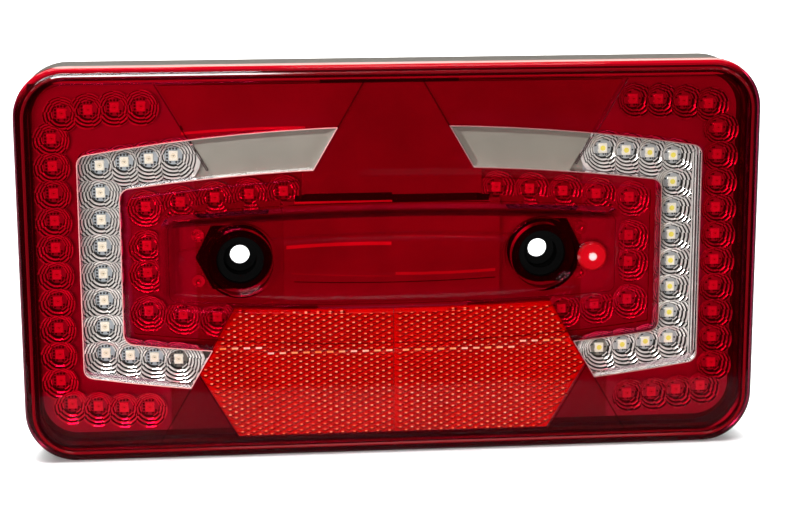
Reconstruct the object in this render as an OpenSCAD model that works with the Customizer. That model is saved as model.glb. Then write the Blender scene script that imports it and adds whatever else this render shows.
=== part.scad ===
// Rear combination lamp with LED light functions, a reflex reflector and two screw wells.
// The lamp stands as it is fitted: +X to its right side, +Z up, the lens looks along -Y and
// the rear mounting plane is at Y = 0. The origin lies midway between the two screw holes.
// Every piece is drawn in plan (X across, Y up the lamp, Z out of the mounting plane) and
// stand() turns that plan upright.

/* [Zones across, from the screw holes out to the side] */
// Distance between the two screw holes
hole_spacing = 104.8; // [100:0.2:115]
// From a screw hole to the side of the central recess
recess_margin = 25.4; // [25.2:0.1:27]
// Width of the island beside the recess
stop_w = 14.4; // [13.6:0.1:16]
// Width of the upright arm of a clear window
arm_w = 14.2; // [13.6:0.1:15.6]
// From the side of a clear window to the side of the lamp
side_margin = 20.6; // [19.8:0.1:23]

/* [Zones up and down, from the middle to the edge] */
// Crown of the recess's upper edge
recess_crown = 18.2; // [17.8:0.1:19.6]
// Crown of the recess's lower edge
recess_low_crown = 15.9; // [15.5:0.1:16.4]
// Height of the island above the recess
stop_h = 14.2; // [13.6:0.1:15.4]
// Height of the arms of a clear window
arm_h = 14.5; // [13.8:0.1:15.6]
// From the crown of a clear window to the edge of the lamp
top_margin = 21.1; // [20.4:0.1:23]

/* [Outline] */
// Corner radius of the lens
corner_r = 17.5; // [14:0.5:20]
// Rounding of the lens rim
rim_r = 2.6; // [1.5:0.1:3.2]

/* [Heights above the mounting plane] */
// Depth of the housing from the mounting plane to its front edge
housing_d = 18; // [17.4:0.1:20]
// Lens face above the housing's front edge
rim_h = 4.5; // [4.2:0.1:5.5]
// Rise of the central island above the lens face
island_rise = 1.5; // [1:0.1:2.2]
// Depth of the central recess below the island
recess_drop = 5; // [4.6:0.1:5.3]
// Depth of the band between the screw wells below the recess
band_drop = 1.4; // [1:0.1:1.6]
// Depth of the clear windows below the lens face
window_drop = 2.4; // [1.8:0.1:2.6]

/* [Walls] */
// Wall of the housing
housing_wall = 2.4; // [2:0.1:3]
// Wall of the lens
lens_wall = 2.2; // [1.8:0.1:2.5]
// Thickness of the clear windows
window_wall = 1.8; // [1.4:0.1:2.2]
// Step from the lens rim in to the housing wall
housing_inset = 0.5; // [0.3:0.1:1]
// Height of the feet on the back of the housing
foot_h = 1.5; // [1:0.1:2]
// Width of the foot that runs round the back
foot_w = 3.5; // [2.5:0.5:6]

/* [Styling] */
// Width of the sloping borders of the island and the windows
slope_w = 2.2; // [1.6:0.1:2.6]
// Width of the sloping border of the recess
recess_slope_w = 3.2; // [2.6:0.1:3.4]
// Width of the sloping border of the band
band_slope_w = 2.2; // [1.6:0.1:2.6]
// Angle of the slanting cuts and face lines
slant = 60; // [56:1:64]
// Radius of the window arch
window_arc_r = 650; // [600:10:720]
// Radius of the island's arch
island_arc_r = 700; // [640:10:800]
// Radius of the recess's arches
recess_arc_r = 1200; // [1100:10:1300]
// Crown of the band's upper edge
band_crown = 8.2; // [7.6:0.1:8.8]
// Crown of the band's lower edge
band_low_crown = 7; // [6.6:0.1:7.4]
// Corner radius of the windows and the island
window_corner_r = 3.4; // [2.8:0.1:3.8]
// Where the upper window arm ends, at the island's edge
upper_cut_x = 27.4; // [26:0.2:29]
// Where the lower window arm ends, at the island's edge
lower_cut_x = 62.4; // [61:0.2:63.4]
// Where the slanting face line meets the island's edge
face_line_x = 61.4; // [60:0.2:62.6]
// Width of the engraved face lines
face_line_w = 0.5; // [0.3:0.1:0.8]
// Depth of the engraved face lines
face_line_d = 0.3; // [0.2:0.05:0.5]

/* [Screw wells] */
// Diameter of the screw holes
hole_d = 6.8; // [6.4:0.1:7.2]
// Diameter of the well at the lens surface
well_d = 22.6; // [21.6:0.1:23.4]
// Diameter of the well's lower step
well_step_d = 16.4; // [15:0.1:17.5]
// Diameter of the driver channel in the sleeve
channel_d = 11.4; // [10.6:0.1:12.4]
// Floor of the sleeve under the screw head
sleeve_floor = 2; // [1.6:0.1:2.6]

/* [Lights] */
// Width of an LED package
led_w = 3; // [2.6:0.1:3.4]
// Length of an LED package
led_l = 3.4; // [3:0.1:3.8]
// Height of an LED package
led_h = 1; // [0.7:0.1:1.4]
// Thickness of the circuit boards
board_t = 1.6; // [1:0.1:2]
// Gap under the circuit boards
board_gap = 3; // [2:0.1:3.4]
// Number of steps in each reflector cup
cup_steps = 5; // [3:1:6]
// Radius of a reflector cup at the LED
cup_r0 = 2.9; // [2.7:0.1:3.2]
// Growth of the radius with each step
cup_step_r = 0.62; // [0.45:0.01:0.66]

/* [Fits] */
// Clearance between parts that are placed side by side
clearance = 0.3; // [0.2:0.05:0.4]
// Clearance of parts that are bonded into a seat
bond_gap = 0.1; // [0.05:0.01:0.15]

/* [Hidden] */
eps = 0.01;
fine = 96;
medium = 48;
coarse = 32;
LEFT = -1;
RIGHT = 1;

// Plan sizes that follow from the zones
hole_x = hole_spacing / 2;
recess_half_w = hole_x + recess_margin;
island_half_w = recess_half_w + stop_w;
window_half_w = island_half_w + arm_w;
lamp_w = 2 * (window_half_w + side_margin);
island_crown = recess_crown + stop_h;
window_crown = island_crown + arm_h;
lamp_h = 2 * (window_crown + top_margin);

// Levels, all measured from the mounting plane
face_z = housing_d + rim_h;
island_z = face_z + island_rise;
recess_z = island_z - recess_drop;
band_z = recess_z - band_drop;
window_z = face_z - window_drop;
window_under_z = window_z - window_wall;
lens_under_z = face_z - lens_wall;
island_under_z = island_z - lens_wall;
recess_under_z = recess_z - lens_wall;
band_under_z = band_z - lens_wall;
floor_z = foot_h + housing_wall;
board_z = floor_z + board_gap;
board_top = board_z + board_t;
led_top = board_top + led_h;
lens_foot_z = housing_d + clearance;
optic_top = window_under_z - clearance;
seat_d = 0.6;
sleeve_seat_z = floor_z - seat_d;
sleeve_floor_z = sleeve_seat_z + sleeve_floor;

// Lens rim
rim_band_w = 4.2;
rim_groove_w = 0.9;
rim_groove_d = 0.7;
rim_overlap = 1;
tongue_w = 1.6;
tongue_h = 3;
window_step = 0.2;

// Housing and seal
housing_w = lamp_w - 2 * housing_inset;
housing_h = lamp_h - 2 * housing_inset;
housing_r = corner_r - housing_inset;
seal_w = 1;
seal_d = 1.2;
seal_inset = 0.7;

// Screw wells
boss_d = 24;
boss_bore_d = 9.2;
sleeve_d = 21.6;
wing_root_x = 9.5;
wing_x = 14.8;
wing_y = 10.6;
collar_wall = 1.6;
collar_d = well_d + 2 * collar_wall;
collar_step_z = recess_z - 4;
collar_foot_z = collar_step_z - 1.8;
well_seal_t = 1.4;
well_seal_d = well_step_d + 4;
sleeve_top_z = collar_foot_z - well_seal_t;
band_land_d = 29;
band_arc_r = 560;

// Reflex reflector
reflex_t = 2;
reflex_top_z = lens_under_z - clearance;
reflex_edge = 6.6;
reflex_low_y = reflex_edge - lamp_h / 2;
reflex_crown = recess_low_crown + lens_wall + clearance
    - recess_slope_w * (island_under_z - reflex_top_z) / recess_drop;
reflex_side_x = lower_cut_x + 4.8;
reflex_side_y = -island_crown - 6.2;
reflex_taper = (-reflex_side_y - reflex_crown) / tan(slant);
prism_pitch = 3.1;
prism_h = 1;
prism_margin = 1.8;
backing_t = 1.4;
backing_wall = 1.4;
backing_z = reflex_top_z - reflex_t - prism_h - clearance - backing_t;
backing_leg_d = 4;
backing_leg_in = 34.4;
backing_leg_x = hole_x - backing_leg_in;
backing_legs = [[backing_leg_x, -reflex_crown - 8.8], [backing_leg_x, reflex_low_y + 7.4]];

// Bezel under the window tips, with its lower tongue behind the recess
bezel_t = 1.6;
bezel_z = optic_top - bezel_t;
bezel_leg_d = 4;
bezel_low_crown = island_crown - 1;
bezel_top_y = lamp_h / 2 - 7;
bezel_legs = [[8, bezel_low_crown + 5.6], [8, bezel_top_y - 4]];
bezel_board_legs = [[face_line_x - 5.4, bezel_low_crown + 7.6], [face_line_x + 8, bezel_top_y - 9.6]];
tongue_z = band_under_z - clearance - bezel_t;
tongue_half_w = hole_x - well_d / 2 - 3.6;
tongue_low_y = 0.4 - recess_low_crown;
tongue_legs = [[20, -9], [20, 12]];

// Circuit boards and what sits on them
board_half_w = lamp_w / 2 - housing_inset - housing_wall - 2.5;
board_half_h = lamp_h / 2 - housing_inset - housing_wall - 3.5;
board_inner_x = hole_x - 28.4;
board_corner_r = 12;
board_clear = 0.6;
post_d = 5;
post_dx = 14.4;
post_dy = 8;
post_in = 5;
upper_post_y = board_half_h - 4.6;
lower_post_y = 13.6 - board_half_h;
screw_head_d = 4.4;
screw_head_h = 1.8;
screw_shank_d = 2.4;
screw_recess_d = 1.8;
screw_recess_h = 0.9;
screw_in = 2.2;
resistor = [3.2, 1.6, 0.6];
resistor_pitch = 4.6;
resistor_x0 = -hole_x + 14.4;
resistor_count = 8;
chip = [5, 6.2, 1.6];
chip_pitch = 8.8;
chip_x0 = resistor_x0;
chip_y = board_half_h - 10.2;
chip_count = 4;
resistor_rows_y = [chip_y - 6, chip_y + 6];
terminal = [7, 16, 4.6];
terminal_x = -board_inner_x - 5.5;
terminal_ways = 5;
terminal_slot = [2, 3.4];
link_w = 10;
link_t = 0.4;
link_y = chip_y - 3.9;
link_half_l = board_inner_x + 7;

// Light functions
tail_x = window_half_w + side_margin / 2 - 1.45;
tail_row_reach = 30.35;
tail_row_x = tail_x - tail_row_reach;
tail_row_y = window_crown + 6.1;
tail_row_pitch = 8.9;
tail_row_arc_r = 175;
tail_body_r = 6.3;
arm_x = window_half_w - arm_w / 2 + 0.15;
arm_pitch = 8.35;
arm_arc_r = 770;
arm_row_crown = island_crown + arm_h / 2 - 0.2;
arm_column = 8;
tail_column = 10;
stop_x = island_half_w - stop_w / 2 - 0.8;
stop_row_crown = recess_crown + 5.76;
stop_pitch = 11.8;
stop_arc_r = 640;
stop_reach = 52.6;
stop_inner_x = stop_x - stop_reach;
stop_low_gap = 3;
stop_inset = island_crown - bezel_low_crown + clearance;
optic_edge = 1.2;
phosphor_d = 1.9;
led_pocket_d = 2.2;
led_pocket_h = 0.2;
phosphor_h = 0.15;

// Grommet and vent plug
grommet = [0, -38];
centre_boss_d = 24;
grommet_d = 16;
grommet_neck_d = 12;
grommet_bore_d = 6.4;
grommet_lip = 1.2;
plug_gap = 0.3;
plug_y = -0.2;
plug_d = 10.4;
plug_x = hole_x + well_d / 2 + plug_d / 2 + plug_gap;
plug_land_d = 12.6;
plug_rise = 1.8;
plug_edge = 0.8;
plug_nib_d = 3;
plug_nib_h = 0.5;
plug_stem_d = 5.6;
plug_foot = 0.6;

// Turns the plan upright: plan Y becomes +Z and plan Z becomes -Y
module stand() {
    rotate([90, 0, 0]) children();
}

// Draws a right-hand plan on either side
module on_side(side) {
    if (side == LEFT) mirror([1, 0, 0]) children();
    else children();
}

module slab(z0, z1) {
    translate([0, 0, z0]) linear_extrude(z1 - z0) children();
}

module drum(d, z0, z1, fn = medium) {
    translate([0, 0, z0]) cylinder(d = d, h = z1 - z0, $fn = fn);
}

module at(p) {
    translate([p[0], p[1], 0]) children();
}

// Outlines

function arc_points(cx, cy, r, a0, a1, n) =
    [for (i = [0:n]) let (a = a0 + (a1 - a0) * i / n) [cx + r * cos(a), cy + r * sin(a)]];

// Height of an arched edge at x
function arch_y(x, crown, r) = crown - r + sqrt(r * r - x * x);

// Right half of an arched edge, from the side to the crown, its corner circle touching both
function arch_half(half_w, crown, r, rc) =
    let (cx = half_w - rc,
         cy = crown - r + sqrt(pow(r - rc, 2) - pow(cx, 2)),
         a = atan2(cy - crown + r, cx))
    concat(
        arc_points(cx, cy, rc, 0, a, 5),
        arc_points(0, crown - r, r, a + (90 - a) / 8, 90, 7));

// Whole arched edge, from right to left
function arch(half_w, crown, r, rc) =
    let (h = arch_half(half_w, crown, r, rc))
    concat(h, [for (i = [len(h) - 2:-1:0]) [-h[i][0], h[i][1]]]);

// Closed outline of a panel with arched upper and lower edges, drawn inwards by inset
function panel(half_w, crown, low_crown, r, rc, inset = 0) =
    let (round_r = max(rc - inset, 0.6),
         top = arch(half_w - inset, crown - inset, r - inset, round_r),
         low = arch(half_w - inset, low_crown - inset, r - inset, round_r))
    concat(top, [for (i = [len(low) - 1:-1:0]) [low[i][0], -low[i][1]]]);

function window_panel(inset) =
    panel(window_half_w, window_crown, window_crown, window_arc_r, window_corner_r, inset);
function island_panel(inset) =
    panel(island_half_w, island_crown, island_crown, island_arc_r, window_corner_r, inset);
function recess_panel(inset) =
    panel(recess_half_w, recess_crown, recess_low_crown, recess_arc_r, window_corner_r, inset);
function band_panel(inset) =
    panel(recess_half_w - recess_slope_w - 1, band_crown, band_low_crown, band_arc_r, 2.6, inset);

// x on a slanting line through (x0, y0), which leans outwards as y falls
function slant_x(x0, y0, y) = x0 + (y0 - y) / tan(slant);

// Everything inside the slanting ends of the window arms, on the right side
function arm_ends(inset) =
    let (dx = inset / sin(slant),
         uy = arch_y(upper_cut_x, island_crown, island_arc_r),
         ly = -arch_y(lower_cut_x, island_crown, island_arc_r),
         far = lamp_h)
    [[-lamp_w, far], [-lamp_w, -far], [slant_x(lower_cut_x, ly, -far) + dx, -far],
     [lower_cut_x + dx, ly], [upper_cut_x + dx, uy],
     [slant_x(upper_cut_x, uy, far) + dx, far]];

// Solid between two outlines with the same number of points, at two heights
module loft(low, z0, high, z1) {
    n = len(low);
    polyhedron(
        points = concat([for (p = low) [p[0], p[1], z0]], [for (p = high) [p[0], p[1], z1]]),
        faces = concat(
            [[for (i = [0:n - 1]) i]],
            [for (i = [0:n - 1]) let (j = (i + 1) % n) [i, n + i, n + j, j]],
            [[for (i = [n - 1:-1:0]) n + i]]));
}

module rounded_plate(w, h, r, z0, z1) {
    slab(z0, z1) union() {
        square([w - 2 * r, h], center = true);
        square([w, h - 2 * r], center = true);
        for (sx = [-1, 1], sy = [-1, 1])
            translate([sx * (w / 2 - r), sy * (h / 2 - r)]) circle(r, $fn = fine);
    }
}

module rounded_frame(w, h, r, wall, z0, z1) {
    difference() {
        rounded_plate(w, h, r, z0, z1);
        rounded_plate(w - 2 * wall, h - 2 * wall, r - wall, z0 - eps, z1 + eps);
    }
}

// Sweeps a profile round a rounded rectangle; the profile's x is measured inwards from the edge
module sweep_round(w, h, r, profile) {
    for (quarter = [0:3]) {
        sx = quarter == 0 || quarter == 3 ? 1 : -1;
        sy = quarter < 2 ? 1 : -1;
        translate([sx * (w / 2 - r), sy * (h / 2 - r), 0]) rotate([0, 0, 90 * quarter])
            rotate_extrude(angle = 90, $fn = fine)
                polygon([for (p = profile) [r - p[0], p[1]]]);
    }
    for (side = [0, 1]) rotate([0, 0, 180 * side]) {
        translate([w / 2, h / 2 - r, 0]) rotate([90, 0, 0]) linear_extrude(h - 2 * r)
            polygon([for (p = profile) [-p[0], p[1]]]);
        translate([-w / 2 + r, h / 2, 0]) rotate([90, 0, 90]) linear_extrude(w - 2 * r)
            polygon([for (p = profile) [-p[0], p[1]]]);
    }
}

// Places

function flip_y(points) = [for (p = points) [p[0], -p[1]]];

// Distance between LEDs along the columns, so that the window's column meets its rows
led_pitch = 2 * arch_y(arm_x, arm_row_crown, arm_arc_r) / (arm_column - 1);

function column(x, n) = [for (i = [0:n - 1]) [x, led_pitch * (i - (n - 1) / 2)]];

function tail_row() = [for (i = [0:3]) let (d = tail_row_pitch * i)
    [tail_row_x + d, tail_row_y - d * d / (2 * tail_row_arc_r)]];

function tail_places() = concat(tail_row(), column(tail_x, tail_column), flip_y(tail_row()));

function arm_row() = [for (i = [1:3]) let (x = arm_x - arm_pitch * i)
    [x, arch_y(x, arm_row_crown, arm_arc_r)]];

function arm_places() = concat(arm_row(), column(arm_x, arm_column), flip_y(arm_row()));

function stop_row(n) = [for (i = [0:n - 1]) let (x = stop_x - stop_pitch * i)
    [x, arch_y(x, stop_row_crown, stop_arc_r)]];

function stop_places() = concat(stop_row(5), column(stop_x, 2), flip_y(stop_row(3)));

function screw_places() = [
    [hole_x + post_dx, post_dy], [hole_x + post_dx, -post_dy],
    [board_inner_x + post_in, upper_post_y], [board_inner_x + post_in, lower_post_y]];

// Housing

module rear_housing() {
    color("#8f8a7e") stand() difference() {
        union() {
            rounded_plate(housing_w, housing_h, housing_r, foot_h, floor_z);
            rounded_frame(housing_w, housing_h, housing_r, foot_w, 0, floor_z);
            rounded_frame(housing_w, housing_h, housing_r, housing_wall, foot_h, housing_d);
            drum(centre_boss_d, 0, floor_z);
            for (side = [LEFT, RIGHT]) on_side(side) {
                at([hole_x, 0]) drum(boss_d, 0, floor_z);
                for (p = screw_places()) at(p) drum(post_d, foot_h, board_z);
            }
        }
        for (side = [LEFT, RIGHT]) on_side(side) {
            at([hole_x, 0]) {
                drum(boss_bore_d, -eps, floor_z + eps);
                slab(sleeve_seat_z, floor_z + eps) sleeve_outline(clearance);
            }
            for (p = screw_places()) at(p)
                drum(screw_shank_d, floor_z, board_z + eps, coarse);
        }
        at(grommet) drum(grommet_neck_d, -eps, floor_z + eps);
        seal_ring(housing_d + eps);
    }
}

module seal_ring(top_z) {
    rounded_frame(housing_w - 2 * seal_inset, housing_h - 2 * seal_inset,
        housing_r - seal_inset, seal_w, housing_d - seal_d, top_z);
}

module perimeter_seal() {
    color("#1c1b1a") stand() seal_ring(lens_foot_z);
}

// Lens

// Half section of the lens rim: x inwards from the edge, y up
function rim_profile() = concat(
    [[rim_band_w + rim_groove_w + rim_overlap, lens_foot_z], [0, lens_foot_z]],
    arc_points(rim_r, face_z - rim_r, rim_r, 180, 90, 6),
    [[rim_band_w, face_z],
     [rim_band_w + rim_groove_w / 2, face_z - rim_groove_d],
     [rim_band_w + rim_groove_w, face_z],
     [rim_band_w + rim_groove_w + rim_overlap, face_z]]);

// Outline at a height on the slope of the island, recess or band
function on_slope(width, rise, dz) = -width * dz / rise;

module lens_body() {
    rim = rim_band_w + rim_groove_w;
    sink = 0.4;
    sweep_round(lamp_w, lamp_h, corner_r, rim_profile());
    rounded_plate(lamp_w - 2 * rim, lamp_h - 2 * rim, corner_r - rim, lens_under_z, face_z);
    lens_tongue();
    loft(island_panel(on_slope(slope_w, island_rise, sink)), face_z - sink,
        island_panel(slope_w), island_z);
    loft(recess_panel(recess_slope_w - lens_wall), recess_under_z,
        recess_panel(-lens_wall), island_under_z);
    loft(band_panel(band_slope_w - lens_wall), band_under_z, band_panel(-lens_wall), band_z);
    for (side = [LEFT, RIGHT]) on_side(side)
        at([hole_x, 0]) drum(collar_d, collar_foot_z, recess_z);
}

// Locating rib that drops inside the housing wall
module lens_tongue() {
    inset = housing_inset + housing_wall + clearance;
    rounded_frame(lamp_w - 2 * inset, lamp_h - 2 * inset, corner_r - inset, tongue_w,
        housing_d - tongue_h, face_z - lens_wall / 2);
}

module front_lens() {
    color("#c00010") stand() difference() {
        lens_body();
        island_pocket();
        loft(recess_panel(recess_slope_w), recess_z,
            recess_panel(on_slope(recess_slope_w, recess_drop, 0.1)), island_z + 0.1);
        band_cut();
        for (side = [LEFT, RIGHT]) on_side(side) {
            window_area(0, lens_under_z - 1, island_z + 1);
            at([hole_x, 0]) {
                drum(well_d, collar_step_z, island_z, fine);
                drum(well_step_d, collar_foot_z - eps, island_z, fine);
            }
            face_lines(face_z);
        }
        at([plug_x, plug_y]) drum(plug_stem_d + 2 * bond_gap, band_under_z - eps, island_z);
    }
}

// Hollow under the island, outside the recess
module island_pocket() {
    difference() {
        slab(lens_under_z - eps, island_under_z) polygon(island_panel(slope_w + lens_wall / 2));
        slab(lens_under_z - 2 * eps, island_under_z + eps) polygon(recess_panel(-lens_wall));
    }
}

// Shallow band across the recess, left out round the wells
module band_cut() {
    difference() {
        loft(band_panel(band_slope_w), band_z,
            band_panel(on_slope(band_slope_w, band_drop, 0.1)), recess_z + 0.1);
        for (side = [LEFT, RIGHT]) on_side(side)
            at([hole_x, 0]) drum(band_land_d, band_z - eps, recess_z + 1);
        at([plug_x, plug_y]) drum(plug_land_d, band_z - eps, recess_z + 1);
    }
}

// Plan area of the right window between two heights
module window_area(inset, z0, z1) {
    difference() {
        slab(z0, z1) polygon(window_panel(inset));
        slab(z0 - eps, z1 + eps) polygon(island_panel(-window_step - inset));
        slab(z0 - eps, z1 + eps) polygon(arm_ends(inset));
    }
}

// Sloping hollow over the right window
module window_hollow() {
    lip = 0.1;
    out = on_slope(slope_w, window_drop, lip);
    difference() {
        loft(window_panel(slope_w), window_z, window_panel(out), face_z + lip);
        loft(island_panel(-window_step - slope_w + out), window_z - lip,
            island_panel(-window_step - 2 * out), face_z + 2 * lip);
        loft(arm_ends(slope_w - out), window_z - lip, arm_ends(2 * out), face_z + 2 * lip);
    }
}

// Engraved line from a to b in a surface at height z
module engraved(a, b, z) {
    angle = atan2(b[1] - a[1], b[0] - a[0]);
    translate([a[0], a[1], z - face_line_d]) rotate([0, 0, angle])
        translate([0, -face_line_w / 2, 0])
            cube([norm(b - a), face_line_w, 2 * face_line_d]);
}

function upper_line(y) = [face_line_x - (arch_y(face_line_x, island_crown, island_arc_r) - y)
    / tan(slant), y];

module face_lines(z) {
    tip_y = arch_y(upper_cut_x, window_crown, window_arc_r);
    tip_x = slant_x(upper_cut_x, arch_y(upper_cut_x, island_crown, island_arc_r), tip_y);
    low_y = -arch_y(lower_cut_x, island_crown, island_arc_r);
    end_y = lamp_h / 2 - rim_band_w - rim_groove_w - 1;
    engraved(upper_line(window_crown - 4), upper_line(end_y), z);
    engraved([tip_x, tip_y], [slant_x(tip_x, tip_y, end_y), end_y], z);
    line_y = low_y - arm_h + 1;
    engraved([slant_x(lower_cut_x, low_y, line_y), line_y],
        [slant_x(lower_cut_x, low_y, -end_y), -end_y], z);
    engraved([reflex_side_x, reflex_side_y],
        [reflex_side_x - (reflex_side_y + end_y) / tan(slant), -end_y], z);
}

module clear_window() {
    difference() {
        window_area(bond_gap, window_under_z, face_z);
        window_hollow();
        engraved(upper_line(island_crown), upper_line(window_crown), window_z);
    }
}

module clear_window_left() {
    color("#e8ecec", 0.5) stand() on_side(LEFT) clear_window();
}

module clear_window_right() {
    color("#e8ecec", 0.5) stand() on_side(RIGHT) clear_window();
}

// Reflex reflector

// Right half of the reflector's outline, drawn inwards by inset from its outer edges
function reflex_outline(inset, seam) =
    let (crown = reflex_crown + inset,
         top = [for (i = [0:8])
             let (x = seam + (reflex_side_x - inset - reflex_taper - seam) * i / 8)
             [x, -arch_y(x, crown, recess_arc_r)]],
         low = reflex_low_y + inset)
    concat(top, [[reflex_side_x - inset / sin(slant), reflex_side_y],
        [reflex_side_x - inset / sin(slant) - (reflex_side_y - low) / tan(slant), low],
        [seam, low]]);

module reflex_half() {
    under_z = reflex_top_z - reflex_t;
    slab(under_z, reflex_top_z) polygon(reflex_outline(0, clearance / 2));
    intersection() {
        slab(under_z - prism_h - eps, under_z) polygon(reflex_outline(prism_margin, prism_margin));
        prism_rows(under_z);
    }
}

module prism_rows(z) {
    rows = floor((-reflex_low_y - reflex_crown) / prism_pitch);
    for (i = [0:rows - 1])
        translate([0, -reflex_crown - prism_pitch * (i + 1), z])
            rotate([90, 0, 90]) linear_extrude(reflex_side_x)
                polygon([[0, eps], [prism_pitch / 2, -prism_h], [prism_pitch, eps]]);
}

module reflex_reflector_left() {
    color("#e01008") stand() on_side(LEFT) reflex_half();
}

module reflex_reflector_right() {
    color("#e01008") stand() on_side(RIGHT) reflex_half();
}

module reflex_backing() {
    under_z = reflex_top_z - reflex_t;
    color("#d9d6cf") stand() {
        difference() {
            for (side = [LEFT, RIGHT]) on_side(side)
                slab(backing_z, under_z) polygon(reflex_outline(0, -eps));
            for (side = [LEFT, RIGHT]) on_side(side)
                slab(backing_z + backing_t, under_z + eps)
                    polygon(reflex_outline(backing_wall, -eps));
        }
        for (side = [LEFT, RIGHT], p = backing_legs) on_side(side)
            at(p) drum(backing_leg_d, floor_z, backing_z + eps, coarse);
    }
}

// Screw wells

// Plan of the sleeve round its screw hole, grown by gap
module sleeve_outline(gap = 0) {
    circle(d = sleeve_d + 2 * gap, $fn = fine);
    polygon([[0, -wing_y - gap], [wing_root_x + gap / 2, -wing_y - gap], [wing_x + gap, 0],
        [wing_root_x + gap / 2, wing_y + gap], [0, wing_y + gap]]);
}

module well_sleeve() {
    at([hole_x, 0]) difference() {
        slab(sleeve_seat_z, sleeve_top_z) sleeve_outline();
        drum(channel_d, sleeve_floor_z, sleeve_top_z + eps, fine);
        drum(hole_d, sleeve_seat_z - eps, sleeve_floor_z + eps, fine);
    }
}

module well_sleeve_left() {
    color("#161514") stand() on_side(LEFT) well_sleeve();
}

module well_sleeve_right() {
    color("#161514") stand() on_side(RIGHT) well_sleeve();
}

module well_seal() {
    at([hole_x, 0]) difference() {
        drum(well_seal_d, sleeve_top_z, collar_foot_z);
        drum(well_step_d, sleeve_top_z - eps, collar_foot_z + eps);
    }
}

module well_seal_left() {
    color("#202020") stand() on_side(LEFT) well_seal();
}

module well_seal_right() {
    color("#202020") stand() on_side(RIGHT) well_seal();
}

// Circuit boards

module circuit_board() {
    difference() {
        rounded_plate(2 * board_half_w, 2 * board_half_h, board_corner_r, board_z, board_top);
        translate([-lamp_w + board_inner_x, -lamp_h / 2, board_z - eps])
            cube([lamp_w, lamp_h, board_t + 2 * eps]);
        at([hole_x, 0]) slab(board_z - eps, board_top + eps) sleeve_outline(board_clear);
        for (p = screw_places()) at(p)
            drum(screw_shank_d + clearance, board_z - eps, board_top + eps, coarse);
    }
}

module circuit_board_left() {
    color("#9aa7b5") stand() on_side(LEFT) circuit_board();
}

module circuit_board_right() {
    color("#e6e9ea") stand() on_side(RIGHT) circuit_board();
}

module board_link() {
    color("#b9bcc0") stand() translate([-link_half_l, link_y - link_w / 2, board_top])
        cube([2 * link_half_l, link_w, link_t]);
}

module board_screws() {
    color("#b4b4b4") stand() for (side = [LEFT, RIGHT], p = screw_places()) on_side(side)
        at(p) difference() {
            union() {
                drum(screw_head_d, board_top, board_top + screw_head_h, coarse);
                drum(screw_shank_d - 2 * bond_gap, board_z - screw_in, board_top + eps, coarse);
            }
            drum(screw_recess_d, board_top + screw_head_h - screw_recess_h,
                board_top + screw_head_h + eps, 6);
        }
}

module driver_chips() {
    color("#222326") stand() for (i = [0:chip_count - 1])
        translate([chip_x0 - chip_pitch * i - chip[0] / 2, chip_y - chip[1] / 2, board_top])
            cube(chip);
}

module resistors() {
    color("#303030") stand() for (y = resistor_rows_y, i = [0:resistor_count - 1])
        translate([resistor_x0 - resistor_pitch * i - resistor[0] / 2, y - resistor[1] / 2, board_top])
            cube(resistor);
}

module wire_terminal() {
    pitch = terminal[1] / terminal_ways;
    color("#e8e6df") stand() translate([terminal_x, 0, board_top]) difference() {
        translate([-terminal[0] / 2, -terminal[1] / 2, 0]) cube(terminal);
        for (i = [0:terminal_ways - 1])
            translate([-terminal[0] / 2 + 1, pitch * (i + 0.5) - terminal[1] / 2
                - terminal_slot[0] / 2, terminal[2] - terminal_slot[1]])
                cube([terminal[0], terminal_slot[0], terminal_slot[1] + eps]);
    }
}

// Optics: clear bodies with a stepped reflector cup over each LED

module cups(places) {
    rise = (optic_top - board_top) / cup_steps;
    for (p = places, i = [0:cup_steps - 1]) at(p)
        drum(2 * (cup_r0 + cup_step_r * i), board_top + rise * i - eps, optic_top + eps);
}

module tail_optic() {
    difference() {
        for (p = tail_places()) at(p) drum(2 * tail_body_r, board_top, optic_top);
        cups(tail_places());
    }
}

module arm_optic() {
    gap = optic_edge + clearance;
    low_y = island_crown / 2;
    difference() {
        window_area(optic_edge, board_top, optic_top);
        slab(board_top - eps, optic_top + eps)
            polygon([upper_line(low_y) + [gap, 0], upper_line(lamp_h) + [gap, 0],
                [-lamp_w, lamp_h], [-lamp_w, low_y]]);
        cups(arm_places());
    }
}

module stop_optic() {
    difference() {
        slab(board_top, optic_top) polygon(island_panel(stop_inset));
        slab(board_top - eps, optic_top + eps) polygon(recess_panel(-lens_wall - clearance));
        slab(board_top - eps, optic_top + eps) {
            translate([-lamp_w + stop_inner_x, -stop_row_crown]) square(lamp_w);
            polygon(stop_low_end());
        }
        cups(stop_places());
    }
}

// What the reflector and its backing leave free at the lower end of the stop light
function stop_low_end() =
    let (x1 = reflex_side_x - reflex_taper + 4 * clearance)
    [[x1, -recess_low_crown + stop_low_gap], [slant_x(x1, -reflex_crown, -lamp_h), -lamp_h],
     [-lamp_w, -lamp_h], [-lamp_w, -recess_low_crown + stop_low_gap]];

module tail_optic_left() {
    color("#d8dadc") stand() on_side(LEFT) tail_optic();
}

module tail_optic_right() {
    color("#d8dadc") stand() on_side(RIGHT) tail_optic();
}

module indicator_optic() {
    color("#d8dadc") stand() on_side(LEFT) arm_optic();
}

module reverse_optic() {
    color("#d8dadc") stand() on_side(RIGHT) arm_optic();
}

module stop_optic_left() {
    color("#d8dadc") stand() on_side(LEFT) stop_optic();
}

module stop_optic_right() {
    color("#d8dadc") stand() on_side(RIGHT) stop_optic();
}

// LEDs

module leds(places) {
    for (p = places) at(p) difference() {
        translate([-led_w / 2, -led_l / 2, board_top]) cube([led_w, led_l, led_h]);
        drum(led_pocket_d, led_top - led_pocket_h, led_top + eps, coarse);
    }
}

module tail_leds_left() {
    color("#f3ead2") stand() on_side(LEFT) leds(tail_places());
}

module tail_leds_right() {
    color("#f3ead2") stand() on_side(RIGHT) leds(tail_places());
}

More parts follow.
